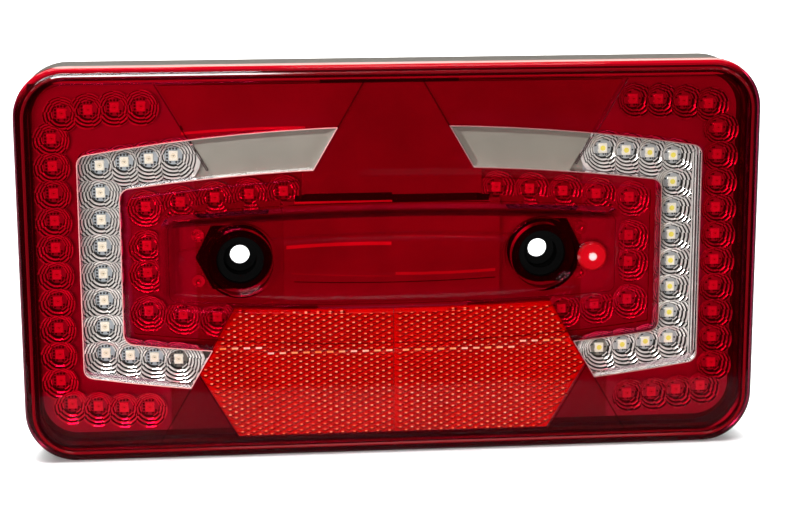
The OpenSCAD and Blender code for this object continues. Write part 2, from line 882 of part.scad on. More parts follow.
module indicator_leds() {
    color("#f3ead2") stand() on_side(LEFT) leds(arm_places());
}

module reverse_leds() {
    color("#f3ead2") stand() on_side(RIGHT) leds(arm_places());
}

module reverse_phosphors() {
    color("#e8dc40") stand() on_side(RIGHT) for (p = arm_places()) at(p)
        drum(phosphor_d, led_top - led_pocket_h, led_top - led_pocket_h + phosphor_h, coarse);
}

module stop_leds_left() {
    color("#f3ead2") stand() on_side(LEFT) leds(stop_places());
}

module stop_leds_right() {
    color("#f3ead2") stand() on_side(RIGHT) leds(stop_places());
}

// Bezel

// Plan of the bezel: from the arch over the recess up to the face lines and the top
function bezel_half() =
    let (end_low = upper_line(arch_y(face_line_x, bezel_low_crown, island_arc_r)))
    concat(
        [for (i = [0:6]) let (x = (end_low[0] - clearance) * i / 6)
            [x, arch_y(x, bezel_low_crown, island_arc_r)]],
        [upper_line(bezel_top_y) - [clearance, 0], [0, bezel_top_y]]);

// Edge of the tongue where it meets the bezel, between the two stop optics
function tongue_arch(rise) = [for (i = [4:-1:0]) let (x = (stop_inner_x - 2 * clearance) * i / 4)
    [x, arch_y(x, bezel_low_crown, island_arc_r) + rise]];

function tongue_half() =
    let (shoulder_y = recess_crown + lens_wall - clearance)
    concat([[0, tongue_low_y], [tongue_half_w, tongue_low_y], [tongue_half_w, shoulder_y],
        [stop_inner_x - 2 * clearance, shoulder_y]], tongue_arch(bezel_t));

function tongue_wall() =
    let (low = tongue_arch(0), top = tongue_arch(bezel_t))
    concat(low, [for (i = [4:-1:0]) top[i]]);

module upper_bezel() {
    color("#a09a8e") stand() for (side = [LEFT, RIGHT]) on_side(side) {
        slab(bezel_z, optic_top) polygon(bezel_half());
        slab(tongue_z, tongue_z + bezel_t) polygon(tongue_half());
        slab(tongue_z, bezel_z + eps) polygon(tongue_wall());
        for (p = bezel_legs) at(p) drum(bezel_leg_d, floor_z, bezel_z + eps, coarse);
        for (p = bezel_board_legs) at(p) drum(bezel_leg_d, board_top, bezel_z + eps, coarse);
        for (p = tongue_legs) at(p) drum(bezel_leg_d, floor_z, tongue_z + eps, coarse);
    }
}

// Grommet and plug

module cable_grommet() {
    color("#181818") stand() at(grommet) difference() {
        union() {
            drum(grommet_d, floor_z, floor_z + grommet_lip);
            drum(grommet_neck_d - 2 * bond_gap, foot_h - grommet_lip, floor_z + eps);
            drum(grommet_d, foot_h - grommet_lip, foot_h);
        }
        drum(grommet_bore_d, -eps, floor_z + grommet_lip + eps);
    }
}

module vent_plug() {
    seat_z = recess_z;
    color("#f01010") stand() at([plug_x, plug_y]) {
        drum(plug_d, seat_z, seat_z + plug_rise - plug_edge);
        translate([0, 0, seat_z + plug_rise - plug_edge])
            cylinder(d1 = plug_d, d2 = plug_d - 2 * plug_edge, h = plug_edge, $fn = medium);
        drum(plug_nib_d, seat_z + plug_rise - eps, seat_z + plug_rise + plug_nib_h, coarse);
        drum(plug_stem_d, band_under_z - plug_foot, seat_z + eps);
    }
}

rear_housing();
perimeter_seal();
front_lens();
clear_window_left();
clear_window_right();
reflex_reflector_left();
reflex_reflector_right();
reflex_backing();
well_sleeve_left();
well_sleeve_right();
well_seal_left();
well_seal_right();
circuit_board_left();
circuit_board_right();
board_link();
board_screws();
tail_optic_left();
tail_optic_right();
indicator_optic();
reverse_optic();
stop_optic_left();
stop_optic_right();
tail_leds_left();
tail_leds_right();
indicator_leds();
reverse_leds();
reverse_phosphors();
stop_leds_left();
stop_leds_right();
upper_bezel();
driver_chips();
resistors();
wire_terminal();
cable_grommet();
vent_plug();
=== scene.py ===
"""Rear combination lamp: finishes, light cups, LEDs, prisms and a plain studio round the solids."""

import math
from collections import namedtuple

import bmesh
import bpy
from bpy.props import FloatProperty, FloatVectorProperty, IntProperty, PointerProperty
from mathutils import Matrix, Vector
from mathutils.bvhtree import BVHTree


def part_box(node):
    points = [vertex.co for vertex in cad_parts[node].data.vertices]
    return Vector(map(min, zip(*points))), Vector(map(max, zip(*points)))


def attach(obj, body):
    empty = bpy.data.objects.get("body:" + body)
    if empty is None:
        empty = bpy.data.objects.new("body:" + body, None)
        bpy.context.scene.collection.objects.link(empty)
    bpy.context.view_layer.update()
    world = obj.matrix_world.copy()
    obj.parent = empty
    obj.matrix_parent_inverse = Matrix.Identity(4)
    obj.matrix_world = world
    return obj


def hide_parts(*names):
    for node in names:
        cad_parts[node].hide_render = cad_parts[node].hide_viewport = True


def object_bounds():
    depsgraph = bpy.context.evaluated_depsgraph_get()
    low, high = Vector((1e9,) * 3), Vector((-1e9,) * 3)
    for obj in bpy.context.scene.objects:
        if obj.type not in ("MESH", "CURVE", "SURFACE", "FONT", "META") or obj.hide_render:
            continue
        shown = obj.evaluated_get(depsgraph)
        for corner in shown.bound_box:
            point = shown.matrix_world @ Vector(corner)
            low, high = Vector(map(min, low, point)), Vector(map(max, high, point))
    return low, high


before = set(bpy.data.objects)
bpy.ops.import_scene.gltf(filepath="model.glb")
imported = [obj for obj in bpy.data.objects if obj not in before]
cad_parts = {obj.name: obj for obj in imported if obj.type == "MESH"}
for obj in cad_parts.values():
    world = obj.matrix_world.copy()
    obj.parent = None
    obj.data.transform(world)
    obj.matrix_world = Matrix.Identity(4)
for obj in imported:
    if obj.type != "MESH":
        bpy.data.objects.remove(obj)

bl_info = {
    "name": "Rear combination lamp",
    "version": (1, 0, 0),
    "blender": (4, 5, 0),
    "location": "View3D > Sidebar > Lamp",
    "description": "Dresses the solids of a rear combination lamp and sets up a plain studio",
    "category": "Add Mesh",
}

# Lengths are in metres; a pair named band, end or below holds where a change of finish starts and ends
MM = 0.001
PACKED_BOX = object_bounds()

# Lens and windows
LENS_CORNER = 17.5 * MM
ISLAND_RISE = 1.5 * MM
LINE_DEPTH = 0.3 * MM
GROOVE_SHADE_BAND = (0.1 * MM, 0.16 * MM)
EDGE_HIGHLIGHT_BAND = (0.3 * MM, 0.5 * MM)
THICK_BAND = (3.6 * MM, 5.2 * MM)
RIM_END = (5.2 * MM, 5.4 * MM)
BELOW_TOP = (13 * MM, 5 * MM)
BEAD_INSET = 3.2 * MM
BEAD_HALF_W = 0.5 * MM
BEAD_TOP_W = 0.1 * MM
BEAD_H = 0.5 * MM
MIRROR_PITCH = math.radians(51.0)
LIP_RADIUS = 0.2 * MM
LINE_RADIUS = 0.14 * MM
LIP_SIDES = 6
STEP_DEPTH = 0.45 * MM

# Reflex reflector
SLANT = math.radians(60.0)
REFLEX_CORNER_RISE = 22.8 * MM
PRISM_COVER = (0.985, 0.82, 0.80)
PRISM_W = 4.1 * MM
PRISM_H = 1.03 * MM
PRISM_RELIEF = 0.55 * MM
TIP_SINK = 0.02 * MM
TIP_LIFT = 0.1
TIP_SHARE = (0.1, 0.2)
FOLD_TIP_SHARE = (0.26, 0.3)
FOLD_CROWN = 32.4 * MM
FOLD_RADIUS = 700 * MM
PLATE_PROBE = (1 * MM, 3 * MM)
CELL_PROBE = 0.28

# Reflector cups
FIRST_SECTOR = math.radians(-90.0)
# Points of one step of a cup, as shares of its width and of its rise
STEP_PROFILE = ((0.0, 0.0), (0.42, 0.74), (0.68, 0.93), (1.0, 1.0))
CUP_FOOT_H = 0.7 * MM
CUP_FOOT_TAPER = 0.98
OUTER_SHARE = 0.9
LEAST_REACH = 1.02
OPTIC_PROBE = 0.25 * MM
WALL_NEAR = 4 * MM
PAST_SURFACE = 0.02 * MM
NO_LIMIT = 1.0
STOP_CUP_REACH = 6.5 * MM
WINDOW_LAP = 1.4 * MM
APRON_CLEAR = 5.2 * MM
APRON_DROP = 1.3 * MM
APRON_Y = -16.6 * MM
FLUTE = 0.45 * MM
FLUTE_DEPTH = 0.7 * FLUTE
FLUTE_PROBE = (-50 * MM, 100 * MM)

# LEDs and boards
LED_BODY = 0.42
LED_BEVEL = 0.12 * MM
RIM_FOOT_R = 1.42 * MM
RIM_TOP_R = 1.36 * MM
RIM_BORE_R = 1.12 * MM
CAVITY_R = 0.92 * MM
CAVITY_H = 0.12 * MM
FILLING_R = 0.95 * MM
FILLING_H = 0.1 * MM
DIE = (0.34 * MM, 0.08 * MM, 0.34 * MM)
DIE_PLACE = (0.05 * MM, -0.14 * MM, 0.0)
WIRE = (0.5 * MM, 0.05 * MM, 0.07 * MM)
WIRE_X = 0.36 * MM
WIRE_Y = -0.15 * MM
WIRE_Z = 0.3 * MM
WIRE_SIDES = ((-1, 0.55), (1, 0.4))
SOLDER_FOOT = (0.36 * MM, 0.22 * MM, 0.8 * MM)
SOLDER_IN = 0.02 * MM
SOLDER_Y = 0.12 * MM
SOLDER_SHARE = 0.27
SOLDER_BEVEL = 0.04 * MM
HOLE_LIFT = 0.03 * MM
MASK_START = 67.5 * MM
MASK_BLUR = 0.2 * MM
DIM_TOP = -29 * MM
DIM_REACH = 78 * MM
DIM_BLUR = 1 * MM

# Bezel
SLOT_REACH = 33.5 * MM
SLOT_Z = 20.1 * MM
SLOT_H = 2.7 * MM
RIGHT_SLOT_Z = SLOT_Z - 0.7 * MM
HIGHLIGHT_STRIP_H = 0.7 * MM
STRIP_STEPS = 16
STRIP_LIFT = 0.05 * MM
STRIP_PROBE = (-30 * MM, 50 * MM)
STRIP_Y = -18 * MM
LEDGE_HALF_W = 26 * MM
LEDGE_Z = (-17.2 * MM, -15.2 * MM)
LEDGE_Y = -16.8 * MM
LEDGE_T = 0.2 * MM

# Studio
FLOOR_HALF_W = 3.0
FLOOR_FRONT = -0.106
FLOOR_BACK = 6.0
MIRRORED = (0.095, -0.97, -0.208)
CAMERA_PLACE = (-0.0620, -0.67605, 0.1420)
CAMERA_AHEAD = (0.09528, 0.97350, -0.20791)
CAMERA_ROLL = math.radians(-0.15)
INTO_LAMP = Vector((0, 1, 0))


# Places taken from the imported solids

def solids_in(node):
    """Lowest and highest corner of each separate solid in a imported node."""
    bm = bmesh.new()
    bm.from_mesh(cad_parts[node].data)
    bmesh.ops.remove_doubles(bm, verts=bm.verts, dist=1e-6)
    boxes, seen = [], set()
    for start in bm.verts:
        if start in seen:
            continue
        group, queue = [], [start]
        seen.add(start)
        while queue:
            vert = queue.pop()
            group.append(vert.co)
            for edge in vert.link_edges:
                other = edge.other_vert(vert)
                if other not in seen:
                    seen.add(other)
                    queue.append(other)
        boxes.append((Vector([min(c[i] for c in group) for i in range(3)]),
                      Vector([max(c[i] for c in group) for i in range(3)])))
    bm.free()
    return boxes


def led_centres(node):
    """Centre of each LED package, on its front."""
    return [Vector(((lo.x + hi.x) / 2, lo.y, (lo.z + hi.z) / 2)) for lo, hi in solids_in(node)]


def surface_of(node):
    """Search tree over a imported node's faces."""
    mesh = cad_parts[node].data
    return BVHTree.FromPolygons([v.co for v in mesh.vertices], [p.vertices for p in mesh.polygons])


def behind(surface, x, z, start, reach):
    """Where a line into the lamp from y = start meets a surface, or None."""
    return surface.ray_cast(Vector((x, start, z)), INTO_LAMP, reach)[0]


# Mesh helpers

def piece(name, bm, finish, *stands_for, slot=None, smooth=35.0):
    """Turns a bmesh into a piece of the lamp that rides on the root body."""
    mesh = bpy.data.meshes.new(name)
    bm.normal_update()
    bm.to_mesh(mesh)
    bm.free()
    obj = bpy.data.objects.new(name, mesh)
    bpy.context.scene.collection.objects.link(obj)
    for mat in (finish if isinstance(finish, (list, tuple)) else [finish]):
        mesh.materials.append(mat)
    if smooth:
        mesh.shade_smooth()
        mesh.set_sharp_from_angle(angle=math.radians(smooth))
    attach(obj, "root")
    if stands_for:
        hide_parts(*stands_for)
    return obj


def dress(node, *finishes):
    """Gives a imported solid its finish."""
    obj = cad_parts[node]
    obj.data.materials.clear()
    for mat in finishes:
        obj.data.materials.append(mat)
    return obj


def add_box(bm, centre, size, bevel=0.0, mat=0):
    """Box with its edges bevelled where a bevel is given."""
    place = Matrix.Translation(centre) @ Matrix.Diagonal((*size, 1.0))
    made = bmesh.ops.create_cube(bm, size=1.0, matrix=place)
    faces = {f for v in made["verts"] for f in v.link_faces}
    for face in faces:
        face.material_index = mat
    if bevel:
        edges = list({e for v in made["verts"] for e in v.link_edges})
        out = bmesh.ops.bevel(bm, geom=edges, offset=bevel, segments=2, profile=0.5, affect="EDGES")
        for face in out["faces"]:
            face.material_index = mat


def circle(centre, radius, height, sides):
    """Points round a front-to-back axis, at a height towards the front."""
    turns = (math.tau * i / sides for i in range(sides))
    return [centre + Vector((radius * math.cos(a), -height, radius * math.sin(a))) for a in turns]


def add_disc(bm, centre, radius, sides=12, mat=0):
    """Flat disc that faces the front."""
    face = bm.faces.new([bm.verts.new(point) for point in circle(centre, radius, 0.0, sides)])
    face.material_index = mat
    face.normal_update()
    if face.normal.y > 0:
        face.normal_flip()


def add_turned(bm, centre, profile, sides=20, mat=0):
    """Turned shape round a front-to-back axis; the profile holds (radius, height towards the front)."""
    rings = []
    for radius, height in profile:
        if radius < 1e-7:
            rings.append([bm.verts.new(centre + Vector((0, -height, 0)))])
        else:
            rings.append([bm.verts.new(point) for point in circle(centre, radius, height, sides)])
    for low, high in zip(rings, rings[1:]):
        for i in range(sides):
            j = (i + 1) % sides
            quad = [low[i % len(low)], low[j % len(low)], high[j % len(high)], high[i % len(high)]]
            corners = list(dict.fromkeys(quad))
            if len(corners) > 2:
                bm.faces.new(corners).material_index = mat


def add_frame(bm, half_w, half_h, corner, section, steps=14):
    """Section (distance in from the edge, y) carried round a rounded rectangle."""
    rings = []
    for quarter, (sx, sz) in enumerate(((1, 1), (-1, 1), (-1, -1), (1, -1))):
        for i in range(steps + 1):
            a = math.radians(90 * (quarter + i / steps))
            x, z = sx * (half_w - corner), sz * (half_h - corner)
            rings.append([bm.verts.new((x + (corner - d) * math.cos(a), y, z + (corner - d) * math.sin(a)))
                          for d, y in section])
    for ring, beside in zip(rings, rings[1:] + rings[:1]):
        for i in range(len(section) - 1):
            bm.faces.new((ring[i], beside[i], beside[i + 1], ring[i + 1]))
    bmesh.ops.recalc_face_normals(bm, faces=bm.faces)


# Node helpers

class Net:
    """A shader tree under construction."""

    def __init__(self, tree, end, coordinates):
        self.tree = tree
        tree.nodes.clear()
        self.end = tree.nodes.new(end)
        self.place = tree.nodes.new("ShaderNodeTexCoord").outputs[coordinates]

    def node(self, kind, settings=None, **inputs):
        made = self.tree.nodes.new(kind)
        for key, value in (settings or {}).items():
            setattr(made, key, value)
        for key, value in inputs.items():
            self.feed(made.inputs[key.replace("_", " ")], value)
        return made

    def feed(self, socket, value):
        """Links a socket to another one, or sets its value."""
        if isinstance(value, bpy.types.NodeSocket):
            self.tree.links.new(value, socket)
        elif isinstance(value, (tuple, list)) and len(value) == 3 and socket.type == "RGBA":
            socket.default_value = (*value, 1.0)
        else:
            socket.default_value = value

    def math(self, kind, a, b=0.0):
        made = self.tree.nodes.new("ShaderNodeMath")
        made.operation = kind
        self.feed(made.inputs[0], a)
        self.feed(made.inputs[1], b)
        return made.outputs[0]

    def noise(self, scale, detail=3.0):
        return self.node("ShaderNodeTexNoise", Vector=self.place, Scale=scale, Detail=detail).outputs["Fac"]

    def ramp(self, fac, *stops):
        made = self.node("ShaderNodeValToRGB", Fac=fac)
        elements = made.color_ramp.elements
        while len(elements) < len(stops):
            elements.new(0.5)
        for element, (at, colour) in zip(elements, stops):
            element.position = at
            element.color = (*colour, 1.0)
        return made.outputs["Color"]

    def spread(self, value, low, high, to_low=0.0, to_high=1.0):
        """The value moved from one range to another, and held within it."""
        made = self.node("ShaderNodeMapRange", Value=value, From_Min=low, From_Max=high, To_Min=to_low,
                         To_Max=to_high)
        return made.outputs["Result"]

    def tint(self, fac, a, b, kind="MIX"):
        made = self.tree.nodes.new("ShaderNodeMix")
        made.data_type = "RGBA"
        made.blend_type = kind
        self.feed(made.inputs[0], fac)
        self.feed(made.inputs[6], a)
        self.feed(made.inputs[7], b)
        return made.outputs[2]

    def bump(self, height, strength=0.3, distance=0.0002):
        made = self.node("ShaderNodeBump", Height=height, Strength=strength, Distance=distance)
        return made.outputs["Normal"]

    def axes(self):
        return tuple(self.node("ShaderNodeSeparateXYZ", Vector=self.place).outputs)

    def mixed(self, fac, a, b):
        made = self.tree.nodes.new("ShaderNodeMixShader")
        self.feed(made.inputs[0], fac)
        self.tree.links.new(a, made.inputs[1])
        self.tree.links.new(b, made.inputs[2])
        return made.outputs[0]

    def grey(self, value):
        return self.node("ShaderNodeCombineColor", Red=value, Green=value, Blue=value).outputs[0]


class Finish(Net):
    """A procedural material under construction."""

    def __init__(self, name):
        self.mat = bpy.data.materials.new(name)
        self.mat.use_nodes = True
        super().__init__(self.mat.node_tree, "ShaderNodeOutputMaterial", "Object")

    def facing(self):
        """Right, back and up parts of the way in which the surface looks."""
        normal = self.node("ShaderNodeNewGeometry").outputs["Normal"]
        return tuple(self.node("ShaderNodeSeparateXYZ", Vector=normal).outputs)

    def done(self, shader):
        self.tree.links.new(shader, self.end.inputs["Surface"])
        return self.mat


def darker(colour, share):
    return tuple(c * share for c in colour)


def moulded(name, colour, rough=0.45, grain=900.0, depth=0.12, variation=0.15, specular=0.5):
    """Opaque moulded plastic with a fine grain and uneven gloss."""
    f = Finish(name)
    lighter = tuple(min(1.0, c * (1 + variation)) for c in colour)
    shade = f.tint(f.spread(f.noise(60.0, 4.0), 0.3, 0.7), darker(colour, 1 - variation), lighter)
    body = f.node("ShaderNodeBsdfPrincipled", Base_Color=shade,
                  Roughness=f.spread(f.noise(220.0), 0.3, 0.7, rough - 0.07, rough + 0.07),
                  Normal=f.bump(f.noise(grain, 2.0), depth, 0.0001), Specular_IOR_Level=specular)
    return f.done(body.outputs[0])


def see_through(name, colour_of, normal, gloss, ior, haze=None, haze_of=None):
    """Clear or dyed plastic with a polished skin: light passes straight on, but for what a haze scatters."""
    f = Finish(name)
    clear = f.node("ShaderNodeBsdfTransparent", Color=colour_of(f)).outputs[0]
    if haze:
        body = f.node("ShaderNodeBsdfDiffuse", Color=haze(f)).outputs[0]
        clear = f.mixed(haze_of(f), clear, body)
    bent = normal(f)
    skin = f.node("ShaderNodeBsdfGlossy", Color=(1.0, 1.0, 1.0), Roughness=gloss, Normal=bent)
    sheen = f.node("ShaderNodeFresnel", IOR=ior, Normal=bent)
    return f.done(f.mixed(sheen.outputs[0], clear, skin.outputs[0]))


def metallised(name, colour, rough=0.16, ripple=700.0, depth=0.25, metal=0.95):
    """Vacuum-plated reflector surface."""
    f = Finish(name)
    ripples = f.math("ADD", f.noise(ripple, 2.0), f.math("MULTIPLY", f.noise(ripple * 4, 1.0), 0.4))
    shade = f.tint(f.spread(f.noise(300.0), 0.35, 0.65), darker(colour, 0.8), colour)
    body = f.node("ShaderNodeBsdfPrincipled", Base_Color=shade, Normal=f.bump(ripples, depth, 0.0002),
                  Roughness=f.spread(f.noise(500.0), 0.3, 0.7, rough * 0.7, rough * 1.4), Metallic=metal)
    return f.done(body.outputs[0])


# Settings

def colour_setting(name, description, default):
    return FloatVectorProperty(name=name, description=description, default=default, size=3, min=0, max=1,
                               subtype="COLOR")


class LampColours(bpy.types.PropertyGroup):
    dye: colour_setting("Red dye", "Colour that one skin of the red lens lets through", (0.87, 0.14, 0.315))
    housing: colour_setting("Housing", "Colour of the housing", (0.042, 0.034, 0.023))
    bezel: colour_setting("Bezel", "Colour of the plain surfaces behind the lens", (0.26, 0.24, 0.205))
    plating: colour_setting("Plating", "Colour of the reflector cups", (1.0, 0.99, 0.97))
    led: colour_setting("LED package", "Colour of the LED packages", (0.90, 0.86, 0.74))
    phosphor: colour_setting("Phosphor", "Colour of the white LEDs' phosphor", (0.85, 0.74, 0.12))
    prism: colour_setting("Reflex prisms", "Colour of the reflex reflector", (0.52, 0.0015, 0.001))


class CupSizes(bpy.types.PropertyGroup):
    mouth: FloatProperty(name="Mouth", description="Radius of a cup at its LED",
                         default=3.1 * MM, min=0.0025, max=0.0035, unit="LENGTH")
    ring: FloatProperty(name="Ring", description="Width of one step of a cup",
                        default=1.05 * MM, min=0.0006, max=0.0016, unit="LENGTH")
    rise: FloatProperty(name="Rise", description="Height of one step of a cup",
                        default=1.3 * MM, min=0.0006, max=0.0018, unit="LENGTH")
    rings: IntProperty(name="Rings", description="Number of steps in a cup", default=5, min=3, max=7)
    sectors: IntProperty(name="Sectors", description="Staggered sectors round a cup",
                         default=9, min=4, max=16)
    stagger: FloatProperty(name="Stagger", default=0.4, min=0, max=0.9,
                           description="Share of a step by which every other sector is moved out")
    sides: IntProperty(name="Sides", description="Segments round a cup", default=54, min=24, max=96)


class StudioSettings(bpy.types.PropertyGroup):
    key: FloatProperty(name="Key light", description="Power of the overhead light",
                       default=26.0, min=0, unit="POWER")
    fill: FloatProperty(name="Front light", description="Power of the front light",
                        default=19.0, min=0, unit="POWER")
    backdrop: FloatProperty(name="Backdrop light", default=120.0, min=0, unit="POWER",
                            description="Power of the light over the floor behind the lamp")
    sky: FloatProperty(name="Surroundings", description="Brightness of the surroundings", default=0.9, min=0)
    lens: FloatProperty(name="Focal length", description="Focal length of the camera, in millimetres",
                        default=88.335, min=20, max=200)


# Cups

def cup_outline(sizes, shift):
    """Points (radius, height) of a cup's wall: a steep riser and a crowned tread to each ring."""
    points = [(sizes.mouth * CUP_FOOT_TAPER, 0.0), (sizes.mouth, CUP_FOOT_H)]
    height = CUP_FOOT_H
    for i in range(sizes.rings):
        radius = sizes.mouth + sizes.ring * (i + shift)
        for out, up in STEP_PROFILE:
            points.append((radius + out * sizes.ring, height + up * sizes.rise))
        height += sizes.rise
    return points


def cut_short(points, reach):
    """The outline with everything past the reach drawn in to its edge."""
    kept = []
    for i, (radius, height) in enumerate(points):
        if radius <= reach:
            kept.append((radius, height))
            continue
        r0, h0 = points[i - 1]
        share = (reach - r0) / (radius - r0) if radius > r0 else 0.0
        edge = (reach, h0 + share * (height - h0))
        kept += [edge] * (len(points) - i)
        break
    return kept


def sector_angles(sizes):
    """Sector number and angle of each column; the first sector is centred straight below the LED."""
    width = math.tau / sizes.sectors
    start = FIRST_SECTOR - width / 2
    steps = max(2, sizes.sides // sizes.sectors)
    return [(sector, start + width * (sector + i / steps))
            for sector in range(sizes.sectors) for i in range(steps + 1)]


def wall_reach(surface, centre, depth_y, way, far):
    """Distance from an LED to the outer wall of its optic, along one direction."""
    start = Vector((centre.x, depth_y, centre.z))
    first = surface.ray_cast(start, way, far)
    if first[0] is None or first[3] > WALL_NEAR:
        return far
    second = surface.ray_cast(first[0] + way * PAST_SURFACE, way, far)
    return first[3] + second[3] if second[0] is not None else far


def build_cups(name, optic, led_node, sizes, finishes, limit, lap):
    """Stepped cups round the LEDs of one optic, ending where neighbouring cups or the outline meet."""
    centres = led_centres(led_node)
    surface = surface_of(optic)
    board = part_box(optic)[1].y
    far = min(limit, sizes.mouth + sizes.ring * (sizes.rings + OUTER_SHARE))
    bm = bmesh.new()
    for c in centres:
        near = [o for o in centres if o is not c and (o - c).length < 2 * far]
        columns = []
        for sector, angle in sector_angles(sizes):
            way = Vector((math.cos(angle), 0, math.sin(angle)))
            reach = min(far, wall_reach(surface, c, board - OPTIC_PROBE, way, far) + lap)
            for o in near:
                gap = o - c
                gap.y = 0
                ahead = gap.dot(way)
                if ahead > 1e-6 and gap.length_squared / 2 / ahead < reach:
                    reach = gap.length_squared / 2 / ahead
            reach = max(reach, sizes.mouth * LEAST_REACH)
            points = cut_short(cup_outline(sizes, sizes.stagger * (sector % 2)), reach)
            points.append((reach, points[-1][1]))
            columns.append([bm.verts.new((c.x + way.x * r, board - h, c.z + way.z * r)) for r, h in points])
        for k, column in enumerate(columns):
            beside = columns[(k + 1) % len(columns)]
            for i in range(len(column) - 1):
                # Risers take the second finish, plating painted dark as painted shade.
                riser = i == 0 or (i - 1) % len(STEP_PROFILE) == 1
                quad = bm.faces.new((column[i], beside[i], beside[i + 1], column[i + 1]))
                quad.material_index = int(riser)
    bmesh.ops.remove_doubles(bm, verts=bm.verts, dist=2e-6)
    bmesh.ops.dissolve_degenerate(bm, edges=bm.edges, dist=1e-6)
    bmesh.ops.recalc_face_normals(bm, faces=bm.faces)
    return piece(name, bm, finishes, optic, slot="optic", smooth=25.0)


def build_apron(name, window, led_node, finishes):
    """Fluted plating between the outer cups of a window's light and the wall of its opening; every other flute
    is painted dark as painted shade.
    """
    glass = surface_of(window)
    low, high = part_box(window)
    start = max(c.x for c in led_centres(led_node)) + APRON_CLEAR
    bm = bmesh.new()
    column, x = 0, start
    while x < high.x:
        ends = []
        z = low.z
        while z < high.z:
            if behind(glass, x + FLUTE / 2, z, *FLUTE_PROBE) is not None:
                ends.append(z)
            z += FLUTE
        if ends:
            near, far = (0.0, FLUTE_DEPTH) if column % 2 else (FLUTE_DEPTH, 0.0)
            foot, top = ends[0], ends[-1] - APRON_DROP
            flute = bm.faces.new([bm.verts.new(c) for c in (
                (x, APRON_Y + near, foot), (x + FLUTE, APRON_Y + far, foot),
                (x + FLUTE, APRON_Y + far, top), (x, APRON_Y + near, top))])
            # Every other flute takes the second finish, painted dark as painted shade.
            flute.material_index = column % 2
        x += FLUTE
        column += 1
    return piece(name, bm, finishes, slot="optic", smooth=0)


class LAMP_OT_cups(bpy.types.Operator):
    """Makes the stepped reflector cups of every light function"""
    bl_idname = "lamp.cups"
    bl_label = "Reflector cups"

    def execute(self, context):
        scene = context.scene
        colour = tuple(scene.lamp_colours.plating)
        # The second finish of each pair is plating painted dark, painted shade for the risers and every other
        # flute.
        shade = metallised("Plating in shade", darker(colour, 0.02), 0.3, 260.0, 0.06, metal=0.3)
        plating = [metallised("Plated cups", colour, 0.08, 260.0, 0.06, metal=0.3), shade]
        rough = [metallised("Pebbled plating", colour, 0.12, 1100.0, 0.8, metal=0.5),
                 metallised("Pebbles in shade", darker(colour, 0.12), 0.3, 1100.0, 0.5, metal=0.3)]
        # The right tail cups take plating painted darker, painted shade away from the light.
        dim = [metallised("Plating away from the light", darker(colour, 0.62), 0.25, 260.0, 0.3, metal=0.3),
               shade]
        for name, optic, leds, finishes, limit, lap in (
                ("tail_cups_left", "tail_optic_left", "tail_leds_left", plating, NO_LIMIT, 0.0),
                ("tail_cups_right", "tail_optic_right", "tail_leds_right", dim, NO_LIMIT, 0.0),
                ("indicator_cups", "indicator_optic", "indicator_leds", plating, NO_LIMIT, WINDOW_LAP),
                ("reverse_cups", "reverse_optic", "reverse_leds", plating, NO_LIMIT, WINDOW_LAP),
                ("stop_cups_left", "stop_optic_left", "stop_leds_left", rough, STOP_CUP_REACH, 0.0),
                ("stop_cups_right", "stop_optic_right", "stop_leds_right", rough, STOP_CUP_REACH, 0.0)):
            build_cups(name, optic, leds, scene.cup_sizes, finishes, limit, lap)
        build_apron("reverse_apron", "clear_window_right", "reverse_leds", plating)
        return {"FINISHED"}


# LEDs

def build_leds(name, node, finishes, white, stands_for):
    """LED packages with a cavity and solder feet, and, where they aren't white, a die and bond wires."""
    bm = bmesh.new()
    body, filling, solder, dark = range(4)
    for lo, hi in solids_in(node):
        size = hi - lo
        mid = (lo + hi) / 2
        add_box(bm, Vector((mid.x, hi.y - size.y * LED_BODY, mid.z)), (size.x, 2 * size.y * LED_BODY, size.z),
                LED_BEVEL, body)
        rim = Vector((mid.x, hi.y - 2 * size.y * LED_BODY, mid.z))
        top = rim.y - lo.y
        wall = [(RIM_FOOT_R, 0.0), (RIM_TOP_R, top), (RIM_BORE_R, top), (CAVITY_R, CAVITY_H)]
        add_turned(bm, rim, wall, 24, body)
        add_disc(bm, rim + Vector((0, -FILLING_H, 0)), FILLING_R, 20, filling)
        if not white:
            add_box(bm, rim + Vector(DIE_PLACE), DIE, 0, dark)
            for sx, rise in WIRE_SIDES:
                add_box(bm, rim + Vector((WIRE_X * sx, WIRE_Y, WIRE_Z * rise)), WIRE, 0, dark)
        for sx in (-1, 1):
            for sz in (-1, 1):
                x = mid.x + sx * (size.x / 2 - SOLDER_IN)
                z = mid.z + sz * size.z * SOLDER_SHARE
                add_box(bm, Vector((x, hi.y - SOLDER_Y, z)), SOLDER_FOOT, SOLDER_BEVEL, solder)
    return piece(name, bm, finishes, *stands_for, slot="led")


class LAMP_OT_leds(bpy.types.Operator):
    """Makes the LED packages and their phosphors"""
    bl_idname = "lamp.leds"
    bl_label = "LEDs"

    def execute(self, context):
        colours = context.scene.lamp_colours
        body = moulded("LED package", tuple(colours.led), 0.4, 1500.0, 0.05, 0.06)
        silicone = moulded("LED silicone", (0.86, 0.78, 0.6), 0.2, 800.0, 0.04, 0.05)
        phosphor = moulded("LED phosphor", tuple(colours.phosphor), 0.3, 2500.0, 0.1, 0.12)
        feet = metallised("Solder", (0.75, 0.75, 0.76), 0.3)
        die = moulded("LED die", (0.10, 0.07, 0.05), 0.3, 2000.0, 0.1, 0.2)
        coloured = [body, silicone, feet, die]
        for side in ("left", "right"):
            for part in ("tail", "stop"):
                node = f"{part}_leds_{side}"
                build_leds(f"{part}_led_set_{side}", node, coloured, False, [node])
        build_leds("indicator_led_set", "indicator_leds", coloured, False, ["indicator_leds"])
        build_leds("reverse_led_set", "reverse_leds", [body, phosphor, feet, die], True,
                   ["reverse_leds", "reverse_phosphors"])
        return {"FINISHED"}


# Boards

